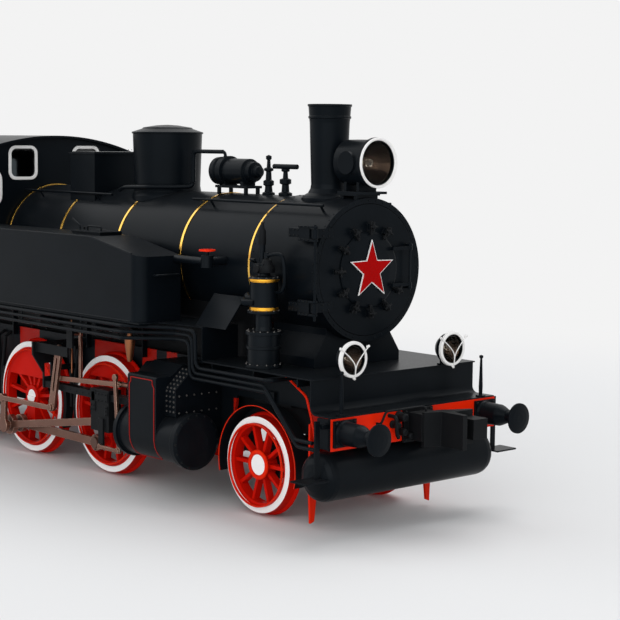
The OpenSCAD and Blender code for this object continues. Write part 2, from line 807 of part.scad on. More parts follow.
module turbo_generator() {
    color("#14171a") {
        turned_x(0, 3123, [
            [2232, 0], [2232, 60], [2262, 70], [2270, 138], [2330, 142], [2352, 112], [2372, 112],
            [2380, 150], [2452, 150], [2460, 116], [2475, 126], [2760, 126], [2772, 100], [2840, 96],
            [2850, 60], [2905, 54], [2918, 30], [2918, 0]
        ]);
        difference() {
            union() {
                box(2330, 2820, -100, 100, 2960, 2985);
                for (x = [2350, 2770], y = [-90, 60])
                    box(x, x + 30, y, y + 30, boiler_z + boiler_r - 108, 2960);
                for (x = [2420, 2700]) box(x, x + 40, -80, 80, 2985, 3060);
            }
            boiler_body(gap);
            bar_x(2200, 2950, 0, 3123, 126 + gap);
        }
        pipe([[1780, -40, 2975], [1879, -40, 2975], [1879, -40, 3313], [2416, -40, 3313],
            [2416, -40, 3262]], 16, 40);
    }
}

module boiler_valves() {
    color("#16181a")
        difference() {
            union() {
                turned_z(3040, 0, [
                    [0, boiler_z + boiler_r - 58], [62, boiler_z + boiler_r - 58], [62, 2925],
                    [40, 2935], [34, 2990], [52, 3000], [52, 3040],
                    [30, 3052], [26, 3130], [46, 3140], [46, 3160], [20, 3172], [16, 3240], [28, 3252],
                    [28, 3280], [0, 3292]
                ]);
                turned_z(3290, 0, [
                    [0, boiler_z + boiler_r - 58], [66, boiler_z + boiler_r - 58], [66, 2930], [38, 2942], [34, 3010], [56, 3020], [56, 3060],
                    [26, 3072], [22, 3130], [40, 3138], [40, 3160], [0, 3160]
                ]);
                bar_x(3122, 3458, 0, 3182, 24);
            }
            boiler_body(gap);
        }
}

module head_lamp() {
    color("#101214") {
        difference() {
            union() {
                turned_x(0, lamp_z, [
                    [4180, 0], [4180, 192], [4192, 206], [4290, 208], [4520, 208], [4524, 228],
                    [4556, 228], [4562, 218], [4562, 0]
                ]);
                bar_y(4371, -222, 222, lamp_z, 105);
            }
            turned_x(0, lamp_z, [[4330, 0], [4345, 90], [4400, 150], [4480, 186], [4562, 200], [4570, 200], [4570, 0]]);
        }
        difference() {
            union() {
                box(4190, 4440, -150, 150, 2939, 2978);
                box(4440, 4529, -150, 150, 2955, 2978);
                for (x = [4210, 4390]) box(x, x + 40, -130, 130, 2800, 2940);
            }
            bar_x(3500, 4600, 0, boiler_z, smokebox_r + gap);
        }
        box(4235, 4265, -110, 110, 2970, 3118);
        box(4400, 4430, -110, 110, 2970, 3066);
    }
}

// A round lamp, its face at x = 0
module round_lamp() {
    difference() {
        turned_x(0, 0, [
            [-150, 0], [-148, 40], [-120, 100], [-70, 136], [-18, 146], [-16, 158], [0, 158], [4, 152], [4, 0]
        ]);
        turned_x(0, 0, [[-118, 0], [-100, 66], [-60, 108], [-10, 132], [5, 134], [5, 0]]);
    }
}

module marker_lamps() {
    color("#15181a") {
        for (s = [-1, 1]) {
            translate([4930, s * 620, 1548]) round_lamp();
            box(4800, 4840, s * 620 - 24, s * 620 + 24, platform_z + gap, 1452);
            box(4800, 4853, s * 620 - 60, s * 620 + 60, platform_z + gap, platform_z + 12);
            translate([-5010, s * 620, 2000]) rotate([0, 0, 180]) round_lamp();
            bar_x(-4880, -4853 - gap, s * 620, 2000, 40);
        }
    }
}

module lamp_lenses() {
    color("lightsteelblue") {
        bar_x(4540, 4548, 0, lamp_z, 196);
        for (s = [-1, 1]) {
            bar_x(4920, 4926, s * 620, 1548, 131.7);
            bar_x(-5006, -5000, s * 620, 2000, 131.7);
        }
    }
}

// Handrails along the boiler on slanted stems
module handrails() {
    color("#1a1d20") {
        for (s = [-1, 1]) {
            bar_x(2392, 4302, s * 420, 2853, 13);
            bar_x(-700, 1000, s * 420, 2853, 13);
            for (x = [-400, 700, 2664])
                rail_stem(x, s, boiler_r);
            rail_stem(4263, s, smokebox_r);
        }
    }
}

module rail_stem(x, s, r) {
    a = atan2(420, 2853 - boiler_z);
    translate([x, 0, boiler_z]) rotate([-s * a, 0, 0])
        bar_z(0, 0, r + gap, norm([420, 2853 - boiler_z]) - 12.5, 11);
}

module air_pump() {
    color("#15181a") {
        turned_z(3950, -812, [
            [0, platform_z + gap], [168, platform_z + gap], [168, 1420], [147, 1424], [147, 1560], [160, 1564],
            [160, 1588], [147, 1592], [147, 1690], [166, 1694], [166, 1720], [80, 1726], [75, 1760],
            [75, 1860], [84, 1880], [148, 1886], [148, 1906], [129, 1910], [129, 2172], [140, 2176],
            [140, 2200], [120, 2212], [60, 2222], [52, 2250], [0, 2250]
        ]);
        box(3880, 4010, -880, -752, 2250, 2330);
        bar_z(3920, -812, 2330, 2520, 30);
        bar_z(3985, -812, 2330, 2430, 24);
        box(3899, 3941, -833, -791, 2520, 2560);
    }
}

module stop_valve() {
    color("#15181a") {
        bar_y(3168, -810, -boiler_r - 2, 2300, 42);
        bar_z(3168, -850, 2244, 2358, 58);
        bar_z(3168, -850, 2358, 2396, 16);
        bar_x(tank_front + gap, 3112, -850, 2300, 36);
        difference() {
            bar_z(3168, -850, 2398, 2414, 78);
            bar_z(3168, -850, 2397, 2415, 64);
        }
        bar_z(3168, -850, 2396, 2420, 24);
        for (a = [0 : 90 : 270]) translate([3168, -850, 2399]) rotate([0, 0, a]) box(20, 68, -7, 7, 0, 12);
    }
}

// height under the tank, position of the drop, height past the cylinders, end of the level run
pipe_rows = [[1546, 3150, 1222, 4270], [1606, 3195, 1272, 4240], [1664, 3240, 1325, 4310]];

module footplate_pipes() {
    color("#1f2225") {
        for (side = [-1, 1], i = [0 : 2]) {
            row = pipe_rows[i];
            head = [[-2900, side * 1310, row[0]], [2440, side * 1310, row[0]],
                [2950, side * 1046, row[0] + 20 - 8 * i], [row[1], side * 1046, row[0] + 20 - 8 * i],
                [row[1] + 15, side * 1046, row[2]], [row[3], side * 1046, row[2]]];
            tail = i == 2 ? [[row[3], side * 700, row[2]]]
                : [[row[3] + 420, side * 1046, 800 + i * 55], [row[3] + 650, side * 1046, 800 + i * 55]];
            swept_pipe(concat(head, tail), 17, 70, 4, 12);
        }
        both_sides()
            for (x = [-500, 600, 1700]) box(x, x + 24, tank_y - 9 + gap, 1293 - gap, 1530, board_z - 12 - gap);
    }
}

// Slanted cover plates between the running board and the boiler
module cover_plates() {
    color("#16191c") both_sides()
        difference() {
            plate_yz([[930, board_z + gap], [945, board_z + gap], [720, 1990], [700, 1990]], 3110, 3560);
            bar_x(3000, 3700, 0, boiler_z, smokebox_r + 2);
        }
}

// Tanks, cab and bunker -------------------------------------------------

tank_side = [
    [cab_front_x + gap, board_z + gap], [tank_front, board_z + gap], [tank_front, tank_front_top],
    [1882, tank_top], [cab_front_x + gap, tank_top]
];

module side_tanks() {
    color("#14171a") both_sides() {
        intersection() {
            plate_xz(tank_side, tank_in_y, tank_y);
            translate([0, 0, board_z]) linear_extrude(900) union() {
                translate([cab_front_x, tank_in_y]) square([tank_front - cab_front_x, tank_y - tank_in_y - 120]);
                translate([cab_front_x, tank_in_y]) square([tank_front - cab_front_x - 120, tank_y - tank_in_y]);
                translate([tank_front - 120, tank_y - 120]) circle(120);
            }
        }
        difference() {
            box(1319, 1817, 872, 1130, tank_top, tank_top + 22);
            box(1335, 1801, 886, 1114, tank_top + 4, tank_top + 23);
        }
        for (x = [1440, 1660]) box(x, x + 40, 850, 872 - gap, tank_top, tank_top + 21 - gap);
    }
}

module tank_lid() {
    box(1311, 1825, 872, 1138, tank_top + 22 + gap, tank_top + 36);
    bar_x(1360, 1780, 862, tank_top + 30, 9);
    for (x = [1380, 1720]) box(x, x + 40, 862, 880, tank_top + 25, tank_top + 36);
}

module tank_lid_right() {
    color("#14171a") mirror([0, 1, 0]) tank_lid();
}

module tank_lid_left() {
    color("#14171a") tank_lid();
}

module under_roof(extra) {
    bar_x(-5200, 0, 0, roof_c, roof_r - 25 - extra);
}

// A window opening with round corners through a wall across X
module window_x(x0, x1, y, z, w, h, r) {
    translate([x0, y, z]) rotate([90, 0, 90]) linear_extrude(x1 - x0) {
        square([w - 2 * r, h], center = true);
        square([w, h - 2 * r], center = true);
        for (a = [-1, 1], b = [-1, 1]) translate([a * (w / 2 - r), b * (h / 2 - r)]) circle(r);
    }
}

module cab_front() {
    color("#14171a")
        intersection() {
            difference() {
                box(cab_front_x - 25, cab_front_x, -cab_y, cab_y, board_z + gap, 3500);
                bar_x(cab_front_x - 40, cab_front_x + 10, 0, boiler_z, boiler_r + gap);
                box(cab_front_x - 40, cab_front_x + 10, -500 - gap, 500 + gap, board_z - 10, boiler_z);
                for (s = [-1, 1]) {
                    window_x(cab_front_x - 40, cab_front_x + 10, s * 420, 3155, 310, 320, 60);
                    window_x(cab_front_x - 40, cab_front_x + 10, s * 935, 2878, 420, 380, 110);
                }
            }
            under_roof(gap);
        }
}

module cab_sides() {
    color("#14171a")
        intersection() {
            both_sides() difference() {
                union() {
                    box(cab_back_x + 25 + gap, cab_front_x - 25 - gap, cab_y - 25, cab_y, board_z + gap, 3400);
                    for (z = [board_z + 110, board_z + 240 + gap, 2400, 2530 + gap]) {
                        bar_z(-2695, cab_y + 12, z, z + 40 - gap, 9);
                        box(-2745, -2695, cab_y - 20, cab_y + 12, z, z + 40 - gap);
                    }
                }
                box(-2700, -2080, cab_y - 60, cab_y, board_z - 10, 3000);
                translate([-1480, 0, 2830]) rotate([90, 0, 0]) translate([0, 0, -cab_y - 60])
                    linear_extrude(120) {
                        square([760, 300], center = true);
                        square([640, 420], center = true);
                        for (a = [-1, 1], b = [-1, 1]) translate([a * 320, b * 150]) circle(60);
                    }
            }
            under_roof(gap);
        }
}

module cab_rear() {
    color("#14171a")
        intersection() {
            difference() {
                box(cab_back_x, cab_back_x + 25, -cab_y, cab_y, board_z + gap, 3500);
                for (s = [-1, 1])
                    window_x(cab_back_x - 10, cab_back_x + 40, s * 620, 3010, 420, 320, 60);
                box(cab_back_x - 10, cab_back_x + 40, -300, 300, 1760, 2260);
            }
            under_roof(gap);
        }
}

module cab_roof() {
    color("#14171a")
        difference() {
            bar_x(cab_back_x - 90, cab_front_x + 70, 0, roof_c, roof_r);
            bar_x(cab_back_x - 100, cab_front_x + 80, 0, roof_c, roof_r - 25);
            box(cab_back_x - 200, cab_front_x + 200, -4000, 4000, -4000, roof_c + sqrt(roof_r * roof_r - 1380 * 1380));
        }
}

module cab_floor() {
    color("#1a1a1a") {
        difference() {
            box(-4853, cab_front_x - gap, -cab_y, cab_y, board_z - 12, board_z);
            box(boiler_back - gap, 0, -500 - gap, 500 + gap, 1000, 3000);
            bar_x(boiler_back - gap, 0, 0, boiler_z, boiler_r + gap);
        }
        both_sides() box(-4840, -1560, frame_in, frame_out, 1340 + gap, board_z - 12);
        for (x = [-4840, -3400, -1700]) box(x, x + 20, -frame_in, frame_in, 1340 + gap, board_z - 12);
    }
}

module bunker() {
    color("#14171a")
        difference() {
            box(-4853, cab_back_x - gap, -cab_y, cab_y, board_z + gap, bunker_top);
            box(-4833, cab_back_x - 20, -cab_y + 20, cab_y - 20, board_z + 14, bunker_top + 10);
            box(cab_back_x - 60, cab_back_x + 10, -300, 300, 1760, 2260);
        }
}

module cab_door() {
    box(-2694, -2086, cab_y - 24, cab_y - 4, board_z + 8, 2640);
    for (z = [board_z + 150, 2440]) {
        bar_z(-2695, cab_y + 12, z, z + 90, 9);
        box(-2694, -2660, cab_y - 4, cab_y + 12, z, z + 90);
    }
}

module cab_door_right() {
    color("#14171a") mirror([0, 1, 0]) cab_door();
}

module cab_door_left() {
    color("#14171a") cab_door();
}

main_frame();
buffer_beams();
buffers();
couplers();
front_platform();
running_boards();
beam_posts();
axle_boxes();
pony_trucks();
wheel_guards();
guard_irons();
air_tank();
front_steps();
cab_steps();
side_tanks();
boiler();
boiler_bands();
ash_pan();
smokebox();
saddle();
smokebox_front();
smokebox_door();
star();
front_hinge();
chimney();
steam_dome();
sand_box();
turbo_generator();
boiler_valves();
head_lamp();
marker_lamps();
lamp_lenses();
handrails();
footplate_pipes();
cover_plates();
air_pump();
stop_valve();
cylinders();
crossheads();
connecting_rods();
valve_gear();
motion_bracket();
cab_front();
cab_sides();
cab_rear();
cab_roof();
cab_floor();
bunker();
cab_door_right();
cab_door_left();
tank_lid_right();
tank_lid_left();
wheelset_leading();
wheelset_driver_1();
wheelset_driver_2();
wheelset_driver_3();
wheelset_trailing();
coupling_rod_right();
coupling_rod_left();
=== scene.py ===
# %% [markdown]
# # A side-tank steam locomotive
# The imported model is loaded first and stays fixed. Every CAD node keeps its place
# in its own mesh, so a new piece can be worked out straight in metres: +X is
# forward, +Y is the left-hand side, +Z is up and the wheels stand on Z = 0.

import bmesh
import bpy
import numpy as np
from mathutils import Matrix, Vector


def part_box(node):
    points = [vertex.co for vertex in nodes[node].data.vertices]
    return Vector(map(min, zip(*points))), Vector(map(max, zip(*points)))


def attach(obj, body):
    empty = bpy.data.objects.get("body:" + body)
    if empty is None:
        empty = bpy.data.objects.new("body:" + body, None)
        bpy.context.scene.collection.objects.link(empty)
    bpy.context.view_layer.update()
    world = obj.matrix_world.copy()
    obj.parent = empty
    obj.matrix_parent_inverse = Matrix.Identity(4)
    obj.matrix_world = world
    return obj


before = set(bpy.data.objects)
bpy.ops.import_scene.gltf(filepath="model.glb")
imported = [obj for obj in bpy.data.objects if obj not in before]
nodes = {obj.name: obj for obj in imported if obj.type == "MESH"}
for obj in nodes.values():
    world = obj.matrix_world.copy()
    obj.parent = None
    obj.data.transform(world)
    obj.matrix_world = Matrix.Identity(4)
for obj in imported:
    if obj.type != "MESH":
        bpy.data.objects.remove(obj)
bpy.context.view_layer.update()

# %% [markdown]
# ## Camera
# The engine is seen from the front right, a little above the buffers, through a
# long lens, so its far end shrinks only a little. The camera's axes are built from
# a yaw, a downward pitch and a very small roll.

# %% Camera with a long lens
def camera_axes(yaw, pitch, roll):
    """Right, up and back vectors: the look vector is (-cos yaw cos pitch,
    sin yaw cos pitch, -sin pitch), and right and up are turned about it by roll."""
    look = np.array([-np.cos(yaw) * np.cos(pitch), np.sin(yaw) * np.cos(pitch), -np.sin(pitch)])
    right = np.cross(look, [0, 0, 1])
    right /= np.linalg.norm(right)
    up = np.cross(right, look)
    return (np.cos(roll) * right + np.sin(roll) * up,
            np.cos(roll) * up - np.sin(roll) * right, -look)


LENS_MM = 94.26
camera = bpy.data.objects.new("camera", bpy.data.cameras.new("camera"))
bpy.context.scene.collection.objects.link(camera)
camera.data.lens, camera.data.sensor_width, camera.data.clip_end = LENS_MM, 36.0, 200.0
turn = Matrix(np.array(camera_axes(0.72556, 0.10378, 0.00973)).T.tolist()).to_4x4()
camera.matrix_world = Matrix.Translation((15.1119, -10.1559, 3.4289)) @ turn
bpy.context.scene.camera = camera
bpy.context.scene.view_settings.view_transform = "Standard"
print("camera looks along", [round(v, 3) for v in -turn.col[2].xyz])

# %% [markdown]
# ## Light, backdrop and floor
# A model on a white table is lit by a large soft source overhead and a little light
# from all round. The world gives the even light; rays that reach it straight from
# the camera or from a shiny surface see the pale backdrop instead. A wide sun high
# up gives form and a soft shadow, a weak one from the engine's right rear lifts the
# boiler's shoulder, and a low wide one lights the wheels and rings. The floor fades
# into the backdrop far away.

# %% World, sun and floor
BACKDROP = (0.896, 0.896, 0.896, 1)


def link(tree, out, into):
    tree.links.new(out, into)


def maths(tree, operation, a, b=None, clamp=False):
    """One Math node; a and b may be numbers or sockets."""
    node = tree.nodes.new("ShaderNodeMath")
    node.operation, node.use_clamp = operation, clamp
    for socket, value in zip(node.inputs, (a, b)):
        if value is None:
            continue
        if isinstance(value, (int, float)):
            socket.default_value = value
        else:
            link(tree, value, socket)
    return node.outputs[0]


world = bpy.data.worlds.new("studio")
bpy.context.scene.world = world
world.use_nodes = True
wt = world.node_tree
wt.nodes.clear()
path = wt.nodes.new("ShaderNodeLightPath")
seen = maths(wt, "MAXIMUM", path.outputs["Is Camera Ray"],
             maths(wt, "MAXIMUM", path.outputs["Is Glossy Ray"], path.outputs["Is Transmission Ray"]))
even, plain = wt.nodes.new("ShaderNodeBackground"), wt.nodes.new("ShaderNodeBackground")
even.inputs["Color"].default_value, even.inputs["Strength"].default_value = (0.95, 0.97, 1, 1), 0.54
plain.inputs["Color"].default_value, plain.inputs["Strength"].default_value = BACKDROP, 1.0
mix, out = wt.nodes.new("ShaderNodeMixShader"), wt.nodes.new("ShaderNodeOutputWorld")
link(wt, seen, mix.inputs[0])
link(wt, even.outputs[0], mix.inputs[1])
link(wt, plain.outputs[0], mix.inputs[2])
link(wt, mix.outputs[0], out.inputs[0])

for name, energy, angle, toward in (("overhead_sun", 1.35, 0.9, (-0.15, 0.42, 1.0)),
                                    ("side_softbox", 0.45, 0.9, (-0.70, -0.40, 0.60)),
                                    ("low_fill", 1.65, 1.2, (0.55, -0.80, 0.22))):
    sun = bpy.data.objects.new(name, bpy.data.lights.new(name, "SUN"))
    bpy.context.scene.collection.objects.link(sun)
    sun.data.energy, sun.data.angle = energy, angle
    sun.rotation_euler = Vector(toward).to_track_quat("Z", "Y").to_euler()

floor_mesh = bpy.data.meshes.new("floor")
floor_mesh.from_pydata([(-90, -90, 0), (90, -90, 0), (90, 90, 0), (-90, 90, 0)], [], [(0, 1, 2, 3)])
floor = bpy.data.objects.new("floor", floor_mesh)
bpy.context.scene.collection.objects.link(floor)
floor_paint = bpy.data.materials.new("floor_paper")
floor_paint.use_nodes = True
ft = floor_paint.node_tree
ft.nodes.clear()
where = ft.nodes.new("ShaderNodeTexCoord")
apart = ft.nodes.new("ShaderNodeVectorMath")
apart.operation = "LENGTH"
link(ft, where.outputs["Object"], apart.inputs[0])
fade = ft.nodes.new("ShaderNodeMapRange")
fade.interpolation_type = "SMOOTHSTEP"
fade.inputs["From Min"].default_value, fade.inputs["From Max"].default_value = 7.0, 14.0
link(ft, apart.outputs["Value"], fade.inputs["Value"])
paper, glow = ft.nodes.new("ShaderNodeBsdfDiffuse"), ft.nodes.new("ShaderNodeEmission")
paper.inputs["Color"].default_value = (0.76, 0.76, 0.76, 1)
glow.inputs["Color"].default_value = BACKDROP
mix, out = ft.nodes.new("ShaderNodeMixShader"), ft.nodes.new("ShaderNodeOutputMaterial")
link(ft, fade.outputs[0], mix.inputs[0])
link(ft, paper.outputs[0], mix.inputs[1])
link(ft, glow.outputs[0], mix.inputs[2])
link(ft, mix.outputs[0], out.inputs[0])
floor_mesh.materials.append(floor_paint)
print("world, sun and floor made")

# %% [markdown]
# ## Shared effects
# Three effects are used by nearly every finish, so each is a node group built once:
# worn edges, fine grain, and dust with a painted sheen, a paler tone on what faces
# up. A group only puts out colours, masks, values and normals; the shader itself
# stays in each material.

# %% Node groups for edge wear, grain and dust
def group(name, inputs, outputs):
    """An empty node group with named sockets; inputs is {name: (type, default)}."""
    tree = bpy.data.node_groups.new(name, "ShaderNodeTree")
    for label, (kind, value) in inputs.items():
        tree.interface.new_socket(label, in_out="INPUT", socket_type=kind).default_value = value
    for label, kind in outputs.items():
        tree.interface.new_socket(label, in_out="OUTPUT", socket_type=kind)
    return tree, tree.nodes.new("NodeGroupInput"), tree.nodes.new("NodeGroupOutput")


FLOAT, COLOR, VECTOR = "NodeSocketFloat", "NodeSocketColor", "NodeSocketVector"


def noise(tree, scale, detail=3.0, vector=None):
    """Noise on Object coordinates, or on the given vector."""
    if vector is None:
        vector = tree.nodes.new("ShaderNodeTexCoord").outputs["Object"]
    node = tree.nodes.new("ShaderNodeTexNoise")
    node.inputs["Detail"].default_value = detail
    if isinstance(scale, (int, float)):
        node.inputs["Scale"].default_value = scale
    else:
        link(tree, scale, node.inputs["Scale"])
    link(tree, vector, node.inputs["Vector"])
    return node.outputs["Fac"]


def blend_colour(tree, mask, a, b):
    """Colour a where the mask is 0 and b where it is 1."""
    node = tree.nodes.new("ShaderNodeMix")
    node.data_type = "RGBA"
    for socket, value in ((node.inputs[0], mask), (node.inputs[6], a), (node.inputs[7], b)):
        if isinstance(value, (int, float, tuple)):
            socket.default_value = value
        else:
            link(tree, value, socket)
    return node.outputs[2]


# edge wear: 1 where a slightly rounded normal leaves the true one, broken up by noise
wear_group, gi, go = group("edge_wear", {"Width": (FLOAT, 0.006), "Amount": (FLOAT, 0.5)},
                           {"Mask": FLOAT, "Round": VECTOR})
bevel = wear_group.nodes.new("ShaderNodeBevel")
bevel.samples = 3
link(wear_group, gi.outputs["Width"], bevel.inputs["Radius"])
true = wear_group.nodes.new("ShaderNodeNewGeometry")
dot = wear_group.nodes.new("ShaderNodeVectorMath")
dot.operation = "DOT_PRODUCT"
link(wear_group, bevel.outputs[0], dot.inputs[0])
link(wear_group, true.outputs["Normal"], dot.inputs[1])
edge = maths(wear_group, "SUBTRACT", 1.0, dot.outputs["Value"], clamp=True)
broken = maths(wear_group, "MULTIPLY", maths(wear_group, "MULTIPLY", edge, 6.0), noise(wear_group, 9.0, 4.0))
link(wear_group, maths(wear_group, "MULTIPLY", broken, gi.outputs["Amount"], clamp=True), go.inputs["Mask"])
link(wear_group, bevel.outputs[0], go.inputs["Round"])

# grain: a fine uneven skin of paint or casting, as a normal and as a value from 0 to 1
grain_group, gi, go = group("grain",
    {"Scale": (FLOAT, 40.0), "Height": (FLOAT, 0.1), "Normal": (VECTOR, (0, 0, 0))},
                            {"Normal": VECTOR, "Value": FLOAT})
skin = noise(grain_group, gi.outputs["Scale"], 4.0)
bump = grain_group.nodes.new("ShaderNodeBump")
bump.inputs["Distance"].default_value = 0.004
link(grain_group, gi.outputs["Height"], bump.inputs["Strength"])
link(grain_group, skin, bump.inputs["Height"])
link(grain_group, gi.outputs["Normal"], bump.inputs["Normal"])
link(grain_group, bump.outputs[0], go.inputs["Normal"])
link(grain_group, skin, go.inputs["Value"])

# dust and painted sheen: paler where the surface faces up (dust, and a painted sheen on tops), in soft
# patches, and a dust film low down near the track
dust_and_sheen_group, gi, go = group("dust_and_sheen", {"Color": (COLOR, (0, 0, 0, 1)), "Dust_and_sheen": (COLOR, (0.060, 0.058, 0.055, 1)),
                                    "Amount": (FLOAT, 0.2)}, {"Color": COLOR, "Mask": FLOAT})
coords = dust_and_sheen_group.nodes.new("ShaderNodeTexCoord")
split = dust_and_sheen_group.nodes.new("ShaderNodeSeparateXYZ")
link(dust_and_sheen_group, coords.outputs["Normal"], split.inputs[0])
place = dust_and_sheen_group.nodes.new("ShaderNodeSeparateXYZ")
link(dust_and_sheen_group, coords.outputs["Object"], place.inputs[0])
low = dust_and_sheen_group.nodes.new("ShaderNodeMapRange")
low.inputs["From Min"].default_value, low.inputs["From Max"].default_value = 1.2, 0.1
link(dust_and_sheen_group, place.outputs["Z"], low.inputs["Value"])
up = maths(dust_and_sheen_group, "MAXIMUM", split.outputs["Z"], 0.0)
lie = maths(dust_and_sheen_group, "ADD", maths(dust_and_sheen_group, "MULTIPLY", up, 0.7),
    maths(dust_and_sheen_group, "MULTIPLY", low.outputs[0], 0.4))
patch = maths(dust_and_sheen_group, "MULTIPLY", lie, noise(dust_and_sheen_group, 3.0, 5.0))
mask = maths(dust_and_sheen_group, "MULTIPLY", patch, gi.outputs["Amount"], clamp=True)
link(dust_and_sheen_group, mask, go.inputs["Mask"])
link(dust_and_sheen_group, blend_colour(dust_and_sheen_group, mask, gi.outputs["Color"], gi.outputs["Dust_and_sheen"]), go.inputs["Color"])
print("groups:", [g.name for g in bpy.data.node_groups])

# %% [markdown]
# ## Masks for paint areas
# Wheels, the buffer beam and the air pump each carry two paints on one casting. A
# mask says where: a ring round an axle, or a slab between two planes. Both read
# Object coordinates, which do not move when the body turns.

# %% Ring and slab masks
def axis_parts(tree):
    coords = tree.nodes.new("ShaderNodeTexCoord")
    split = tree.nodes.new("ShaderNodeSeparateXYZ")
    link(tree, coords.outputs["Object"], split.inputs[0])
    return split.outputs


def between(tree, value, low, high):
    """1 where low < value < high."""
    return maths(tree, "MULTIPLY", maths(tree, "GREATER_THAN", value, low),
        maths(tree, "LESS_THAN", value, high))


def ring(tree, x, z, inner, outer, beyond=None):
    """1 between two radii round the line along Y through (x, z), and where |y| > beyond."""
    px, py, pz = axis_parts(tree)[:3]
    dx, dz = maths(tree, "SUBTRACT", px, x), maths(tree, "SUBTRACT", pz, z)
    r = maths(tree, "SQRT", maths(tree, "ADD", maths(tree, "MULTIPLY", dx, dx),
        maths(tree, "MULTIPLY", dz, dz)))
    mask = between(tree, r, inner, outer)
    if beyond is not None:
        mask = maths(tree, "MULTIPLY", mask, maths(tree, "GREATER_THAN", maths(tree, "ABSOLUTE", py), beyond))
    return mask


def slab(tree, axis, low, high):
    """1 between two planes square to axis 0, 1 or 2."""
    return between(tree, axis_parts(tree)[axis], low, high)


def either(tree, *masks):
    """1 where any mask is 1."""
    total = masks[0]
    for mask in masks[1:]:
        total = maths(tree, "MAXIMUM", total, mask)
    return total


# %% [markdown]
# ## Finishes
# Each finish is one Principled shader fed by the shared groups. `finish` mixes a
# second tone in soft patches, lays any masked paints over it, wears the edges,
# settles dust with a painted sheen on upward faces, and gives the skin a fine grain. Gloss stays on the
# shader's sockets.

# %% One function makes every opaque finish
def use_group(tree, which, **values):
    node = tree.nodes.new("ShaderNodeGroup")
    node.node_tree = which
    for label, value in values.items():
        if isinstance(value, (int, float, tuple)):
            node.inputs[label].default_value = value
        else:
            link(tree, value, node.inputs[label])
    return node


def finish(name, colour, second, metal=0.0, rough=(0.3, 0.45), gloss=0.1, coat=0.0, patches=2.5, layers=(),
           worn=(0.05, 0.052, 0.055, 1), wear=0.25, edge=0.006, grain=60.0, height=0.03, dust_and_sheen=0.15,
           metal_mask=None, sheen=(0.84, 0.93, 1, 1)):
    """A painted or metal finish. layers is [(mask function, colour)], laid on in turn."""
    made = bpy.data.materials.new(name)
    made.use_nodes = True
    tree = made.node_tree
    shader = tree.nodes["Principled BSDF"]
    tone = blend_colour(tree, noise(tree, patches, 4.0), (*colour, 1), (*second, 1))
    for mask_of, paint in layers:
        tone = blend_colour(tree, mask_of(tree), tone, (*paint, 1))
    edges = use_group(tree, wear_group, Width=edge, Amount=wear)
    tone = blend_colour(tree, edges.outputs["Mask"], tone, worn)
    # dust and painted sheen: upward faces get a paler tone, partly dust and partly a painted sheen on tops
    film = use_group(tree, dust_and_sheen_group, Color=tone, Amount=dust_and_sheen)
    skin = use_group(tree, grain_group, Scale=grain, Height=height, Normal=edges.outputs["Round"])
    spread = tree.nodes.new("ShaderNodeMapRange")
    spread.inputs["To Min"].default_value, spread.inputs["To Max"].default_value = rough
    link(tree, skin.outputs["Value"], spread.inputs["Value"])
    link(tree, film.outputs["Color"], shader.inputs["Base Color"])
    link(tree, spread.outputs[0], shader.inputs["Roughness"])
    link(tree, skin.outputs["Normal"], shader.inputs["Normal"])
    if metal_mask is None:
        shader.inputs["Metallic"].default_value = metal
    else:
        link(tree, metal_mask(tree), shader.inputs["Metallic"])
    shader.inputs["Specular IOR Level"].default_value = gloss
    shader.inputs["Specular Tint"].default_value = sheen
    shader.inputs["Coat Weight"].default_value = coat
    shader.inputs["Coat Roughness"].default_value = 0.12
    return made


BLACK, BLUE_BLACK = (0.0012, 0.0022, 0.0032), (0.0046, 0.0066, 0.0092)
RED, DEEP_RED = (0.86, 0.026, 0.0015), (0.66, 0.010, 0.0008)
WHITE, BRASS = (0.93, 0.92, 0.91), (1.0, 0.64, 0.15)
WHEEL_RED, WHEEL_DEEP = (0.62, 0.007, 0.0010), (0.46, 0.004, 0.0008)


def paint_nodes(names, material):
    """Puts one material on the CAD nodes, in place of what they came with."""
    for name in names.split():
        mesh = nodes[name].data
        mesh.materials.clear()
        mesh.materials.append(material)


black_paint = finish("black_paint", BLACK, BLUE_BLACK, rough=(0.26, 0.38), gloss=0.06)
black_iron = finish("black_iron", (0.0024, 0.0028, 0.0034), (0.0085, 0.0090, 0.0100), rough=(0.40, 0.60),
    gloss=0.08,
                    grain=70.0, height=0.1, dust_and_sheen=0.18, wear=0.35)
red_paint = finish("red_paint", RED, DEEP_RED, rough=(0.30, 0.44), gloss=0.06, worn=(0.30, 0.02, 0.01, 1),
                   wear=0.3, dust_and_sheen=0.04)
print("first finishes:", [m.name for m in bpy.data.materials])

# %% [markdown]
# ## Paint on the CAD nodes
# Bodywork, boiler, smokebox and fittings are black; wheels, guard irons and the face
# of the buffer beam are red; frames and wheel guards are painted black over most of
# their red as painted shade, the frames keeping patches of a darker red (painted shade
# too) and the guards a red outer edge; bands are brass; rods are bare oiled steel.

# %% Black bodywork and iron
paint_nodes("buffers front_platform running_boards air_tank front_steps cab_steps side_tanks boiler "
            "smokebox saddle smokebox_front smokebox_door front_hinge chimney steam_dome sand_box "
            "turbo_generator boiler_valves head_lamp marker_lamps handrails footplate_pipes "
            "cylinders cab_front cab_sides cab_rear cab_roof cab_floor bunker cab_door_right "
            "cab_door_left tank_lid_right tank_lid_left beam_posts cover_plates", black_paint)
paint_nodes("couplers axle_boxes pony_trucks ash_pan crossheads motion_bracket", black_iron)
paint_nodes("guard_irons", red_paint)

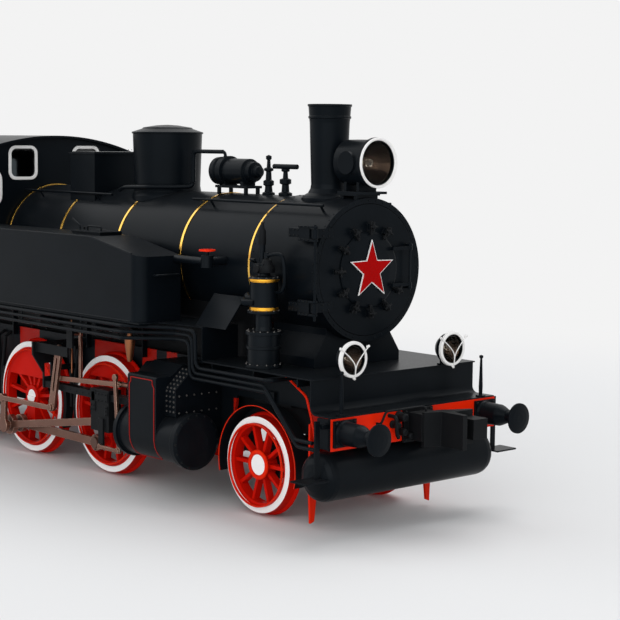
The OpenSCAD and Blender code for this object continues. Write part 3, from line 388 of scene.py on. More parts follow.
# %% Wheels with white tyres and hubs
def wheel_finish(name, x, z, tread, hub):
    """Red all over, with a white tyre face (0.86 of the tread outwards) and a white hub disc."""
    white = lambda t: either(t, ring(t, x, z, tread * 0.862, tread * 1.03, 0.797),
        ring(t, x, z, 0.0, hub, 0.74))
    pins = lambda t: maths(t, "GREATER_THAN", maths(t, "ABSOLUTE", axis_parts(t)[1]), 0.880)
    return finish(name, WHEEL_RED, WHEEL_DEEP, rough=(0.30, 0.44), gloss=0.04, worn=(0.35, 0.03, 0.01, 1),
        wear=0.2,
                  dust_and_sheen=0.04, layers=((white, WHITE), (pins, (0.11, 0.066, 0.052))))


for node, x, z, tread, hub in (("wheelset_leading", 3.862, 0.477, 0.449, 0.095),
                               ("wheelset_trailing", -3.862, 0.477, 0.449, 0.095),
                               ("wheelset_driver_1", 1.464, 0.631, 0.603, 0.074),
                               ("wheelset_driver_2", 0.0, 0.631, 0.603, 0.074),
                               ("wheelset_driver_3", -1.464, 0.631, 0.603, 0.074)):
    paint_nodes(node, wheel_finish(node + "_paint", x, z, tread, hub))
print("wheels painted")

# %% Buffer beams, brass, steel, star and glass
beam_edge = lambda t: maths(t, "SUBTRACT", 1.0,
    maths(t, "GREATER_THAN", maths(t, "ABSOLUTE", axis_parts(t)[0]), 5.094))
paint_nodes("buffer_beams", finish("beam_paint", RED, DEEP_RED, rough=(0.28, 0.40), gloss=0.06, dust_and_sheen=0.1,
                                   layers=((beam_edge, BLACK),)))
brass = finish("brass", BRASS, (0.90, 0.46, 0.06), metal=1.0, rough=(0.13, 0.22), sheen=(1, 1, 1, 1),
    gloss=0.5, grain=90.0, wear=0.0,
               dust_and_sheen=0.05, patches=5.0)
paint_nodes("boiler_bands", brass)
steel = finish("oiled_steel", (0.27, 0.145, 0.105), (0.13, 0.056, 0.036), metal=0.85, rough=(0.26, 0.44),
    gloss=0.4,
               patches=4.0, grain=120.0, height=0.05, worn=(0.80, 0.55, 0.42, 1), wear=0.8, edge=0.010,
               dust_and_sheen=0.06)
paint_nodes("connecting_rods valve_gear coupling_rod_right coupling_rod_left", steel)
pump_rings = lambda t: either(t, slab(t, 2, 1.912, 1.940), slab(t, 2, 2.167, 2.195))
paint_nodes("air_pump", finish("pump_paint", BLACK, BLUE_BLACK, rough=(0.28, 0.42),
    layers=((pump_rings, (0.85, 0.42, 0.04)),),
                               metal_mask=pump_rings))
wheel_rim = lambda t: slab(t, 2, 2.390, 2.420)
paint_nodes("stop_valve", finish("valve_paint", BLACK, BLUE_BLACK, rough=(0.28, 0.42),
    layers=((wheel_rim, RED),)))
paint_nodes("star", finish("star_paint", (0.42, 0.001, 0.001), (0.34, 0.001, 0.001), rough=(0.22, 0.32),
    gloss=0.03,
                           wear=0.0, dust_and_sheen=0.0, height=0.01))


def glass(name, tint=(0.92, 0.96, 0.97), ior=1.45):
    """Clear glass with a faint uneven film, so that it is not a perfect mirror."""
    made = bpy.data.materials.new(name)
    made.use_nodes = True
    tree = made.node_tree
    shader = tree.nodes["Principled BSDF"]
    shader.inputs["Transmission Weight"].default_value = 1.0
    shader.inputs["IOR"].default_value = ior
    shader.inputs["Specular IOR Level"].default_value = 0.12
    film = noise(tree, 14.0, 4.0)
    spread = tree.nodes.new("ShaderNodeMapRange")
    spread.inputs["To Min"].default_value, spread.inputs["To Max"].default_value = 0.02, 0.10
    link(tree, film, spread.inputs["Value"])
    link(tree, spread.outputs[0], shader.inputs["Roughness"])
    link(tree, blend_colour(tree, film, (*tint, 1), (*(0.9 * v for v in tint), 1)),
        shader.inputs["Base Color"])
    return made


paint_nodes("lamp_lenses", glass("lamp_glass", (0.80, 0.77, 0.73), 1.10))
print("CAD nodes painted:", sum(len(o.data.materials) == 1 for o in nodes.values()), "of", len(nodes))

# %% [markdown]
# ## Surfaces from numpy
# Most detail on an engine is turned, pressed or drawn: rims, lamps, pipes, rods and
# rivets. Each helper works out all its points as one array, then makes one mesh.

# %% Grids, turned shapes, tubes, plates and studs
def grid_mesh(points, around, along=False):
    """Quads over a grid of points (rows, columns, 3); around closes the columns into a ring
    and along closes the rows."""
    rows, cols = points.shape[:2]
    index = np.arange(rows * cols).reshape(rows, cols)
    nxt = np.roll(index, -1, axis=1)
    low, low_next = index, nxt
    high, high_next = np.roll(index, -1, axis=0), np.roll(nxt, -1, axis=0)
    quads = np.stack([low, low_next, high_next, high], axis=-1)
    quads = quads[slice(None) if along else slice(0, rows - 1), slice(None) if around else slice(0, cols - 1)]
    return points.reshape(-1, 3), quads.reshape(-1, 4)


def piece(name, verts, faces, material, body="locomotive", slot="black_paint", smooth=True, round_edges=0.0,
          caps=()):
    """One object from arrays: merged, with outward faces, smooth by angle, riding on its body."""
    mesh = bpy.data.meshes.new(name)
    mesh.from_pydata(np.asarray(verts, dtype=float).tolist(), [],
                     np.asarray(faces).tolist() + [list(map(int, cap)) for cap in caps])
    obj = bpy.data.objects.new(name, mesh)
    bpy.context.scene.collection.objects.link(obj)
    work = bmesh.new()
    work.from_mesh(mesh)
    bmesh.ops.remove_doubles(work, verts=work.verts, dist=1e-6)
    bmesh.ops.dissolve_degenerate(work, edges=work.edges, dist=1e-7)
    bmesh.ops.recalc_face_normals(work, faces=work.faces)
    if round_edges:
        sharp = [e for e in work.edges if len(e.link_faces) == 2 and e.calc_face_angle(0) > 0.6]
        bmesh.ops.bevel(work, geom=sharp, offset=round_edges, segments=2, affect="EDGES", clamp_overlap=True)
    work.to_mesh(mesh)
    work.free()
    if smooth:
        mesh.shade_smooth()
        mesh.set_sharp_from_angle(angle=0.6)
    mesh.materials.append(material)
    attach(obj, body)
    return obj


AXES = {"x": ((0, 1, 0), (0, 0, 1), (1, 0, 0)), "y": ((0, 0, 1), (1, 0, 0), (0, 1, 0)),
        "z": ((1, 0, 0), (0, 1, 0), (0, 0, 1))}


def turned(profile, centre, axis, n=48):
    """A turned shape: each (distance along the axis, radius) becomes a ring round it."""
    u, v, w = (np.array(a, float) for a in AXES[axis])
    along, radius = np.array(profile, float).T
    angle = np.linspace(0, 2 * np.pi, n, endpoint=False)
    points = (np.array(centre, float) + along[:, None, None] * w + radius[:, None, None]
              * (np.cos(angle)[:, None] * u + np.sin(angle)[:, None] * v))
    return grid_mesh(points, around=True)


def rounded_path(points, bend, steps=6):
    """A route with its corners rounded: each corner is a quadratic curve between two points a
    distance bend away from it."""
    p = np.array(points, float)
    before = p[:-2] - p[1:-1]
    after = p[2:] - p[1:-1]
    reach_b = np.minimum(bend, 0.49 * np.linalg.norm(before, axis=1))[:, None]
    reach_a = np.minimum(bend, 0.49 * np.linalg.norm(after, axis=1))[:, None]
    start = p[1:-1] + before / np.linalg.norm(before, axis=1)[:, None] * reach_b
    end = p[1:-1] + after / np.linalg.norm(after, axis=1)[:, None] * reach_a
    t = np.linspace(0, 1, steps)[None, :, None]
    curve = (1 - t) ** 2 * start[:, None] + 2 * t * (1 - t) * p[1:-1][:, None] + t ** 2 * end[:, None]
    return np.vstack([p[:1], curve.reshape(-1, 3), p[-1:]])


def tube(path, radius, n=12):
    """A round bar along a path: a ring of n points square to the path at each of its points.
    Returns points and quads with both ends closed by shrinking the last rings."""
    p = np.asarray(path, float)
    tangent = np.gradient(p, axis=0)
    tangent /= np.linalg.norm(tangent, axis=1)[:, None]
    guide = np.array([0.13, 0.21, 0.97]) if abs(tangent[:, 2]).mean() < 0.8 else np.array([0.97, 0.21, 0.13])
    side = np.cross(tangent, guide)
    side /= np.linalg.norm(side, axis=1)[:, None]
    up = np.cross(side, tangent)
    angle = np.linspace(0, 2 * np.pi, n, endpoint=False)[:, None]
    size = np.full(len(p), radius, float) if np.isscalar(radius) else np.asarray(radius, float)
    ring = lambda q, s, u, r: q[..., None, :] + r[..., None, None] * (np.cos(angle) * s[..., None, :]
                                                                       + np.sin(angle) * u[..., None, :])
    points = ring(p, side, up, size)
    ends = [np.repeat(p[:1], n, 0)[None], points, np.repeat(p[-1:], n, 0)[None]]
    return grid_mesh(np.concatenate(ends), around=True)


def joined(parts):
    """Several (points, quads) as one."""
    points, quads, base = [], [], 0
    for p, q in parts:
        points.append(p)
        quads.append(q + base)
        base += len(p)
    return np.vstack(points), np.vstack(quads)


def studs(places, out, radius=0.012, height=0.008, n=8):
    """Domed rivet or bolt heads: one small turned dome copied to every place, along its own
    outward direction."""
    places, out = np.atleast_2d(np.asarray(places, float)), np.atleast_2d(np.asarray(out, float))
    out = np.broadcast_to(out, places.shape) / np.linalg.norm(np.broadcast_to(out, places.shape), axis=1)[:,
        None]
    guide = np.where(np.abs(out[:, 2:3]) < 0.8, [[0, 0, 1.0]], [[1.0, 0, 0]])
    u = np.cross(out, guide)
    u /= np.linalg.norm(u, axis=1)[:, None]
    v = np.cross(out, u)
    angle = np.linspace(0, 2 * np.pi, n, endpoint=False)
    rings = np.array([(0.0, 1.0), (0.55, 0.92), (0.9, 0.55), (1.0, 0.0)])
    local_r = (rings[:, 1:] * np.ones(n)) * radius
    local_h = rings[:, :1] * np.ones(n) * height
    points = (places[:, None, None] + local_r[None, :, :,
        None] * (np.cos(angle)[None, None, :, None] * u[:, None, None]
              + np.sin(angle)[None, None, :, None] * v[:, None, None]) + local_h[None, :, :, None] * out[:,
              None, None])
    one = grid_mesh(np.zeros((4, n, 3)), around=True)[1]
    quads = (one[None] + (np.arange(len(places)) * 4 * n)[:, None, None]).reshape(-1, 4)
    return points.reshape(-1, 3), quads


def blocks(*limits):
    """Boxes from pairs of corners, as points and quads."""
    corner = np.array([(x, y, z) for x in (0, 1) for y in (0, 1) for z in (0, 1)], float)
    faces = np.array([(0, 1, 3, 2), (4, 6, 7, 5), (0, 4, 5, 1), (2, 3, 7, 6), (0, 2, 6, 4), (1, 5, 7, 3)])
    low, high = np.array([l for l, _ in limits], float), np.array([h for _, h in limits], float)
    points = low[:, None] + corner[None] * (high - low)[:, None]
    return points.reshape(-1, 3), (faces[None] + 8 * np.arange(len(limits))[:, None, None]).reshape(-1, 4)


def outline_plate(name, loops, make, depth, material, body="locomotive", slot="black_paint", round_edges=0.0):
    """A flat plate from an outer loop of (a, b) points: make(a, b, d) places a point, d runs over
    the two depths. With two loops of the same length the plate is a frame between them."""
    outer = np.array(loops[0], float)
    n = len(outer)
    rings = [outer] + [np.array(l, float) for l in loops[1:]]
    sides = [np.array([make(a, b, d) for a, b in ring_points]) for d in depth for ring_points in rings]
    if len(rings) == 2:
        order = [sides[0], sides[1], sides[3], sides[2]]
        points, quads = grid_mesh(np.array(order), around=True, along=True)
        return piece(name, points, quads, material, body, slot, round_edges=round_edges)
    points, quads = grid_mesh(np.array([sides[0], sides[1]]), around=True)
    return piece(name, points, quads, material, body, slot, round_edges=round_edges,
                 caps=(range(n), range(n, 2 * n)))


def rounded_rect(w, h, r, steps=6):
    """Corners of a rounded rectangle about (0, 0): quarter arcs of radius r at each corner."""
    t = np.linspace(0, np.pi / 2, steps)
    arc = np.stack([np.cos(t), np.sin(t)], 1) * r
    turn = lambda k: np.array([[np.cos(k), -np.sin(k)], [np.sin(k), np.cos(k)]])
    centre = [(w / 2 - r, h / 2 - r), (r - w / 2, h / 2 - r), (r - w / 2, r - h / 2), (w / 2 - r, r - h / 2)]
    return np.vstack([arc @ turn(k * np.pi / 2).T + centre[k] for k in range(4)])


print("helpers ready")

# %% [markdown]
# ## The star's white edge
# The red star stands on a slightly larger white one, so a thin white line shows all
# round. The same ten corners are used, moved out by the width of the line.

# %% Star edge
SIDES, ENDS = (("right", -1), ("left", 1)), (("front", 1), ("rear", -1))


def star_points(outer, inner, extra=0.0):
    """Ten corners in turn at the outer and inner radius, the first at the top; extra widens it."""
    turn = np.arange(10) * np.pi / 5
    radius = np.where(np.arange(10) % 2 == 0, outer + extra * 2.9, inner + extra * 1.15)
    return np.stack([-radius * np.sin(turn), 2.268 + radius * np.cos(turn)], 1)


white_paint = finish("white_paint", WHITE, (0.80, 0.79, 0.77), rough=(0.32, 0.45), gloss=0.2, dust_and_sheen=0.1,
    wear=0.1,
                     worn=(0.5, 0.48, 0.45, 1))
star_low, star_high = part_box("star")
star_front = star_high[0]
outline_plate("star_edge", [star_points(0.256, 0.103, 0.008)], lambda a, b, d: (d, a, b),
              (star_low[0] + 0.001, star_front - 0.003), white_paint, "front_door", "star_red")
print("star from x", round(star_low[0], 4), "to", round(star_front, 4))

# %% [markdown]
# ## Lamps
# A lamp is a pressed bowl with a mirror inside, a clear glass and a pale rim. The
# mirrors have gone brown with age, which is why the lamps look dark with one bright
# spot. The two front marker lamps carry a white wire guard shaped like a Y.

# %% Lamp rims, mirrors and bulbs
mirror = finish("aged_mirror", (0.11, 0.075, 0.055), (0.006, 0.0045, 0.004), metal=1.0, rough=(0.10, 0.30),
    gloss=0.5,
                patches=9.0, grain=30.0, height=0.06, dust_and_sheen=0.0, wear=0.0)
bulb_glass = glass("bulb_glass", (0.95, 0.92, 0.82))
LAMP_Z = 3.238
piece("head_lamp_rim", *turned([(4.5635, 0.201), (4.572, 0.203), (4.580, 0.212), (4.580, 0.224),
    (4.570, 0.2275),
                                (4.5635, 0.2275), (4.5635, 0.201)], (0, 0, LAMP_Z), "x", 72), white_paint)
bowl = np.linspace(0, 1, 14)
piece("head_lamp_mirror", *turned([(4.352 + 0.178 * b ** 2, 0.004 + 0.182 * b) for b in bowl]
                                  + [(4.526, 0.1875), (4.349 + 0.01, 0.16), (4.338, 0.004)],
                                  (0, 0, LAMP_Z), "x", 64), mirror, slot="black_iron")
piece("head_lamp_bulb", *turned([(4.36, 0.0), (4.362, 0.018), (4.40, 0.018), (4.404, 0.030), (4.43, 0.040),
                                 (4.455, 0.034), (4.468, 0.0)], (0, 0, LAMP_Z), "x", 24), bulb_glass,
                                 slot="lamp_glass")
lamps = []
for tag, x, y, z, front in (("front_right", 4.93, -0.62, 1.548, 1), ("front_left", 4.93, 0.62, 1.548, 1),
                            ("rear_right", -5.01, -0.62, 2.0, -1), ("rear_left", -5.01, 0.62, 2.0, -1)):
    flip = lambda prof: [(x + front * a, r) for a, r in prof]
    piece("marker_rim_" + tag, *turned(flip([(0.0045, 0.134), (0.012, 0.132), (0.018, 0.138), (0.018, 0.152),
                                             (0.010, 0.160), (-0.014, 0.1605), (-0.014, 0.1585),
                                             (0.002, 0.1585),
                                             (0.0045, 0.134)]), (0, y, z), "x", 56), white_paint)
    piece("marker_mirror_" + tag, *turned(flip([(-0.112 + 0.092 * b ** 2, 0.003 + 0.118 * b) for b in bowl]
                                               + [(-0.024, 0.123), (-0.114, 0.062), (-0.1165, 0.003)]),
                                               (0, y, z), "x", 48),
          mirror, slot="black_iron")
    piece("marker_bulb_" + tag, *turned(flip([(-0.10, 0.0), (-0.10, 0.012), (-0.075, 0.012), (-0.07, 0.022),
                                              (-0.045, 0.026), (-0.03, 0.0)]), (0, y, z), "x", 20),
                                              bulb_glass,
          slot="lamp_glass")
    lamps.append(tag)
print("lamps:", lamps)

# %% Wire guards on the front marker lamps
for tag, y in (("right", -0.62), ("left", 0.62)):
    wires = []
    for a in (-1, 1):
        arm = np.array([(4.952, y + a * 0.163, 1.548 + 0.105), (4.962, y + a * 0.10, 1.548 + 0.055),
                        (4.968, y + a * 0.035, 1.548 - 0.005), (4.968, y, 1.548 - 0.06),
                        (4.956, y, 1.548 - 0.168)])
        wires.append(tube(rounded_path(arm, 0.05), 0.0052, 8))
        wires.append(tube([(4.935, y + a * 0.155, 1.648), (4.950, y + a * 0.163, 1.653),
            (4.953, y + a * 0.172, 1.66)],
                          0.011, 8))
    wires.append(tube([(4.938, y, 1.386), (4.950, y, 1.382), (4.957, y, 1.374)], 0.011, 8))
    piece("lamp_wire_" + tag, *joined(wires), white_paint)
print("wire guards made")

# %% [markdown]
# ## Cab windows
# Each front window has a raised white frame round a pane set into the sheet.

# %% Window frames and panes
cab_glass = glass("cab_glass", (0.05, 0.06, 0.065))
front_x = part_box("cab_front")[1][0]
for tag, y, z, w, h, r in (("inner_right", -0.42, 3.155, 0.31, 0.32, 0.06),
    ("inner_left", 0.42, 3.155, 0.31, 0.32, 0.06),
                           ("outer_right", -0.935, 2.878, 0.42, 0.38, 0.11),
                           ("outer_left", 0.935, 2.878, 0.42, 0.38, 0.11)):
    place = lambda a, b, d, y=y, z=z: (d, y + a, z + b)
    outline_plate("window_frame_" + tag,
        [rounded_rect(w + 0.065, h + 0.065, r + 0.03), rounded_rect(w - 0.006, h - 0.006, r)],
                  place, (front_x - 0.0005, front_x + 0.014), white_paint, round_edges=0.003)
    outline_plate("window_pane_" + tag, [rounded_rect(w - 0.008, h - 0.008, r)], place,
        (front_x - 0.016, front_x - 0.010),
                  cab_glass, slot="lamp_glass")
    piece("window_screws_" + tag, *studs([(front_x + 0.014, y + a, z + b) for a, b in
                                          rounded_rect(w + 0.03, h + 0.03, r + 0.015, 2)], (1, 0, 0), 0.005,
                                          0.003),
          white_paint)
print("cab front at x", round(front_x, 3))

# %% [markdown]
# ## Cylinder cladding
# A curved sheet covers each cylinder and its valve chest. A thin red line with
# clipped corners runs a little inside the edge of the sheet, down its flat upper
# part and on round the barrel. The line is a narrow ribbon carried over the same
# surface, and the chest in front of it is closed by rows of nuts.

# %% Red lining on the cladding
CYLINDER_Y, CLAD_TOP, CLAD_R, AXLE_Z = 1.05, 1.218, 0.24, 0.631


def clad_surface(x, s, side, lift=0.0012):
    """Point on the cladding: s is the distance down from the top edge. It runs straight down
    to the cylinder's centre height, then round the barrel of radius 0.24."""
    x, s = np.broadcast_arrays(np.asarray(x, float), np.asarray(s, float))
    drop = CLAD_TOP - AXLE_Z
    angle = np.clip((s - drop) / CLAD_R, 0, None)
    y = CYLINDER_Y + (CLAD_R + lift) * np.cos(angle)
    z = np.where(s < drop, CLAD_TOP - s, AXLE_Z - (CLAD_R + lift) * np.sin(angle))
    return np.stack([x, side * y, z], -1)


def ribbon(line, side, width=0.007):
    """A thin raised strip along a closed line of (x, s) points on the cladding: four rows, two
    just inside the sheet and two lifted, offset to either side of the line."""
    dense = np.vstack([np.linspace(a, b, 10, endpoint=False) for a, b in zip(line, np.roll(line, -1, 0))])
    run = np.roll(dense, -1, 0) - np.roll(dense, 1, 0)
    normal = np.stack([-run[:, 1], run[:, 0]], 1) / np.linalg.norm(run, axis=1)[:, None]
    rows = [(0.5, -0.001), (0.5, 0.0042), (-0.5, 0.0042), (-0.5, -0.001)]
    points = np.array([clad_surface(*(dense + k * width * normal).T, side, lift) for k, lift in rows])
    return grid_mesh(points, around=True, along=True)


lining = np.array([(2.562, 0.03), (2.905, 0.03), (2.905, 0.07), (2.932, 0.10), (2.932, 0.80), (2.905, 0.84),
                   (2.565, 0.84), (2.537, 0.80), (2.537, 0.10), (2.562, 0.07)])
line_red = finish("lining_red", (0.50, 0.012, 0.004), (0.36, 0.006, 0.002), rough=(0.3, 0.45), dust_and_sheen=0.1,
    wear=0.0)
for tag, side in SIDES:
    piece("cylinder_lining_" + tag, *ribbon(lining, side), line_red, slot="red_paint")
sides = np.roll(lining, -1, 0) - lining
print("lining length", round(float(np.linalg.norm(sides, axis=1).sum()), 2), "m a side")

# %% Nuts on the chest and screws round the cladding and covers
bright_steel = finish("bright_steel", (0.085, 0.080, 0.078), (0.035, 0.032, 0.030), metal=0.9,
    rough=(0.25, 0.42), gloss=0.4,
                      grain=150.0, dust_and_sheen=0.1, worn=(0.6, 0.58, 0.55, 1), wear=0.4)
for tag, side in SIDES:
    gx, gz = np.meshgrid(np.linspace(2.985, 3.095, 3), np.linspace(0.90, 1.09, 5))
    flank = np.stack([gx.ravel(), np.full(gx.size, side * 1.18), gz.ravel()], 1)
    t = np.linspace(0.06, 0.94, 6)
    slope = np.array([(x, side * (1.18 - 0.2 * k), 1.11 + 0.18 * k) for x in (2.985, 3.04, 3.095) for k in t])
    angle = np.linspace(0, 2 * np.pi, 16, endpoint=False)
    cover = np.stack([np.full(16, 3.2675), side * 1.05 + 0.246 * np.cos(angle),
        AXLE_Z + 0.246 * np.sin(angle)], 1)
    chest_front = np.array([(3.12, side * y, z) for y in np.linspace(0.70, 1.14, 6) for z in (0.89, 1.05)])
    piece("chest_nuts_" + tag, *joined([studs(flank, (0, side, 0), 0.011, 0.012, 6),
                                        studs(slope, (0, side * 0.67, 0.74), 0.011, 0.012, 6),
                                        studs(chest_front, (1, 0, 0), 0.011, 0.012, 6)]), bright_steel,
                                        slot="motion_steel")
    edge_x = np.linspace(2.53, 2.94, 12)
    rim = clad_surface(edge_x, np.full(12, 0.012), side)
    posts = clad_surface(np.repeat([2.519, 2.949], 9), np.tile(np.linspace(0.06, 0.80, 9), 2), side)
    piece("cladding_screws_" + tag,
        *joined([studs(rim, (0, side, 0), 0.006, 0.004), studs(posts, (0, side, 0), 0.006, 0.004)]),
          black_paint)
    piece("cylinder_cover_nuts_" + tag, *studs(cover, (1, 0, 0), 0.013, 0.014, 6), black_iron,
        slot="black_iron")
print("nuts and screws made")

# %% [markdown]
# ## Smokebox front
# The round door is held by ten dogs, each tightened by a cross-headed nut, and the
# drum's rim is riveted. The nuts belong to the hinged plate and swing with it.

# %% Dogs, rivets and hinge bolts
PLATE_X, BOILER_Z = 4.453, 2.268
dogs = []
for a in np.radians(np.arange(60, 331, 30)):
    c, s = np.cos(a), np.sin(a)
    centre = np.array([0, c * 0.394, s * 0.394 + BOILER_Z])
    out, across = np.array([0, c, s]), np.array([0, -s, c])
    dogs.append(turned([(PLATE_X + 0.050, 0.0), (PLATE_X + 0.050, 0.022), (PLATE_X + 0.078, 0.020),
        (PLATE_X + 0.088, 0.010),
                        (PLATE_X + 0.090, 0.0)], centre, "x", 12))
    for axis in (out, across):
        ends = np.array([centre + axis * k + np.array([PLATE_X + 0.070, 0, 0]) for k in (-0.044, 0.0, 0.044)])
        dogs.append(tube(ends, 0.009, 8))
    dogs.append(tube([centre + out * -0.075 + np.array([PLATE_X + 0.040, 0, 0]),
                      centre + np.array([PLATE_X + 0.046, 0, 0]),
                      centre + out * 0.046 + np.array([PLATE_X + 0.034, 0, 0])], 0.016, 8))
piece("door_dogs", *joined(dogs), black_iron, body="front_plate", slot="black_iron")
turn = 2 * np.pi * np.arange(44) / 44
rim = np.stack([np.full(44, PLATE_X), 0.628 * np.cos(turn), BOILER_Z + 0.628 * np.sin(turn)], 1)
piece("rim_rivets", *studs(rim, (1, 0, 0), 0.009, 0.006), black_paint)
turn = 2 * np.pi * np.arange(56) / 56
radial = np.stack([np.zeros(56), np.cos(turn), np.sin(turn)], 1)
seam = np.concatenate([radial * 0.654 + [x, 0, BOILER_Z] for x in (3.585, 4.425)])
keep = seam[:, 2] > 1.72
piece("smokebox_rivets", *studs(seam[keep], np.concatenate([radial] * 2)[keep], 0.008, 0.005), black_paint)
bolts = [(4.4712, y, BOILER_Z + dz + k) for dz in (-0.31, 0.35) for y in (-0.64, -0.57,
    -0.50) for k in (-0.024, 0.024)]
piece("strap_bolts", *studs(bolts, (1, 0, 0), 0.009, 0.008, 6), black_iron, body="front_plate",
    slot="black_iron")
side_bolts = [(x, -0.7165, BOILER_Z + dz + k) for dz in (-0.31, 0.35) for x in (4.33, 4.38,
    4.43) for k in (-0.058, 0.058)]
wall_bolts = [(x, -0.705, BOILER_Z + dz + k) for dz in (-0.31, 0.35) for x in (4.18, 4.23,
    4.28) for k in (-0.025, 0.025)]
piece("hinge_bolts", *studs(side_bolts + wall_bolts, (0, -1, 0), 0.009, 0.008, 6), black_iron,
    slot="black_iron")
print(len(dogs), "dog parts;", int(keep.sum()), "rivets on the drum")

# %% [markdown]
# ## Air pump
# The pump's top end carries its valve gear and a tall lubricator, and a steam pipe
# leaves it in a wide hoop. The flanges are held by close-set bolts.

# %% Pump pipes and bolts
PUMP = (3.95, -0.812)
hoop = rounded_path([(3.98, -0.812, 2.40), (4.10, -0.812, 2.425), (4.19, -0.80, 2.42), (4.22, -0.80, 2.30),
    (4.22, -0.80, 2.14),
                     (4.16, -0.79, 2.08), (4.05, -0.77, 2.08)], 0.07, 8)
ring_p = lambda z, r, n: np.stack([PUMP[0] + r * np.cos(2 * np.pi * np.arange(n) / n),
                                   PUMP[1] + r * np.sin(2 * np.pi * np.arange(n) / n), np.full(n, z)], 1)
piece("pump_pipes", *joined([tube(hoop, 0.017),
    tube([(3.90, -0.88, 2.36), (3.82, -0.86, 2.36), (3.79, -0.78, 2.33), (3.79, -0.74, 2.24)], 0.014),
                             tube([(3.95, -0.93, 1.98), (3.86, -0.97, 1.98), (3.80, -0.93, 1.99)], 0.03),
                             tube([(3.74, -0.83, 2.02), (3.80, -0.87, 2.00), (3.84, -0.86, 1.99)], 0.035)]),
                             black_paint)
piece("pump_top", *joined([turned([(2.25, 0.0), (2.25, 0.07), (2.27, 0.075), (2.31, 0.07), (2.335, 0.05),
    (2.36, 0.045), (2.40, 0.0)],
                                  (3.99, -0.812, 0), "z", 24),
                           turned([(2.50, 0.012), (2.50, 0.034), (2.52, 0.036), (2.62, 0.034), (2.65, 0.02),
                           (2.70, 0.012), (2.702, 0.0)],
                                  (3.92, -0.812, 0), "z", 20),
                           turned([(-0.905, 0.0), (-0.905, 0.035), (-0.88, 0.04), (-0.85, 0.04),
                           (-0.85, 0.0)], (3.945, 0, 2.285), "y", 20)]),
      black_iron, slot="black_iron")
piece("pump_bolts", *joined([studs(ring_p(2.2005, 0.128, 12), (0, 0, 1), 0.009, 0.012, 6),
    studs(ring_p(1.720, 0.148, 14), (0, 0, 1), 0.009, 0.012, 6),
                             studs(ring_p(1.906, 0.139, 12), (0, 0, 1), 0.008, 0.010, 6),
                             studs(ring_p(1.4225, 0.158, 12), (0, 0, 1), 0.008, 0.010, 6)]),
      bright_steel, slot="motion_steel")
print("pump at", PUMP)

# %% [markdown]
# ## Underframe
# Between the frame plates and the boiler, black sheets are painted shade: they stand
# where the engine shows only shade. Laminated springs and brake gear sit there too. Springs are leaves of a
# flat arc, each shorter than the one above, and the brake blocks follow the tread with a small gap.

# %% Painted shade sheets, springs and brake blocks
DRIVER_X = (-1.464, 0.0, 1.464)


def capped(points):
    """A bar swept through rings of four points, with each end drawn in to its middle."""
    ends = [np.repeat(points[i:i + 1].mean(1, keepdims=True), 4, 1) for i in (0, len(points) - 1)]
    return grid_mesh(np.concatenate([ends[0], points, ends[1]]), around=True)


def leaf(x, z, half, y0, y1, thick, rise):
    """One spring leaf: a flat bar whose height falls as the square of the distance from its middle."""
    t = np.linspace(-1, 1, 13)
    px, pz = x + half * t, z - rise * t ** 2
    section = [(y0, 0), (y1, 0), (y1, thick), (y0, thick)]
    points = np.stack([np.stack([px, np.full(13, y), pz + dz], 1) for y, dz in section], 1)
    return capped(points)


for tag, side in SIDES:
    # painted shade: black sheets just inside the frames, from low between the wheels up to the boiler
    y0, y1 = sorted((side * 0.512, side * 0.520))
    spans = ((-3.3, -1.60), (-1.33, -0.13), (0.13, 1.33), (1.60, 3.50))
    lower = [((a, y0, 0.50), (b, y1, 0.775)) for a, b in spans] + [((-3.3, y0, 0.775), (4.55, y1, 1.345))]
    sheet = blocks(((-1.49, y0, 1.345), (3.59, y1, 1.87)), *lower)
    piece("painted_shade_sheet_" + tag, *sheet, black_iron, slot="black_iron", smooth=False)
    y0, y1 = sorted((side * 0.636, side * 0.70))
    leaves = [leaf(x, 1.44 + 0.0135 * k, 0.47 - 0.045 * (7 - k) if k < 7 else 0.47, y0, y1, 0.0125, 0.07)
              for x in DRIVER_X for k in range(8)]
    hoops = [blocks(((x - 0.045, min(y0, y1) - 0.006, 1.425),
        (x + 0.045, max(y0, y1) + 0.006, 1.56))) for x in DRIVER_X]
    piece("driving_springs_" + tag, *joined(leaves + hoops), black_iron, slot="black_iron")
    shoes = []
    for x, facing in ((1.464, -1), (0.0, -1), (-1.464, -1), (0.0, 1), (-1.464, 1)):
        a = np.linspace(-0.42, 0.30, 12) + (np.pi if facing < 0 else 0.0)
        rows = [(side * 0.695, 0.612), (side * 0.785, 0.612), (side * 0.785, 0.665), (side * 0.695, 0.665)]
        points = np.stack([np.stack([x + r * np.cos(a), np.full(12, y), AXLE_Z + r * np.sin(a)], 1) for y,
            r in rows], 1)
        shoes.append(capped(points))
        hx = x + facing * 0.70
        shoes.append(tube([(hx, side * 0.74, 0.60), (hx, side * 0.74, 0.85),
            (x + facing * 0.66, side * 0.72, 1.22), (x + facing * 0.66, side * 0.64, 1.27)], 0.020, 8))
    piece("brake_gear_" + tag, *joined(shoes), black_iron, slot="black_iron")
print("sheets, springs and brakes made")

# %% Frame and wheel guards under painted shade, gusset and beam ends
# painted shade: the red frame is painted black outside these patches, and the patches get a darker red
patches = lambda t: either(t, slab(t, 0, -0.50, -0.10), slab(t, 0, 0.98, 1.54), slab(t, 0, 1.83, 2.07),
    slab(t, 0, 2.24, 2.41),
                           maths(t, "GREATER_THAN", maths(t, "ABSOLUTE", axis_parts(t)[0]), 4.40),
                           maths(t, "MULTIPLY", slab(t, 0, 3.30, 3.66), slab(t, 2, 0.5, 1.01)))
paint_nodes("main_frame", finish("frame_painted_shade", BLACK, BLUE_BLACK, rough=(0.34, 0.5), dust_and_sheen=0.2,
    layers=((patches, (0.42, 0.008, 0.002)),)))
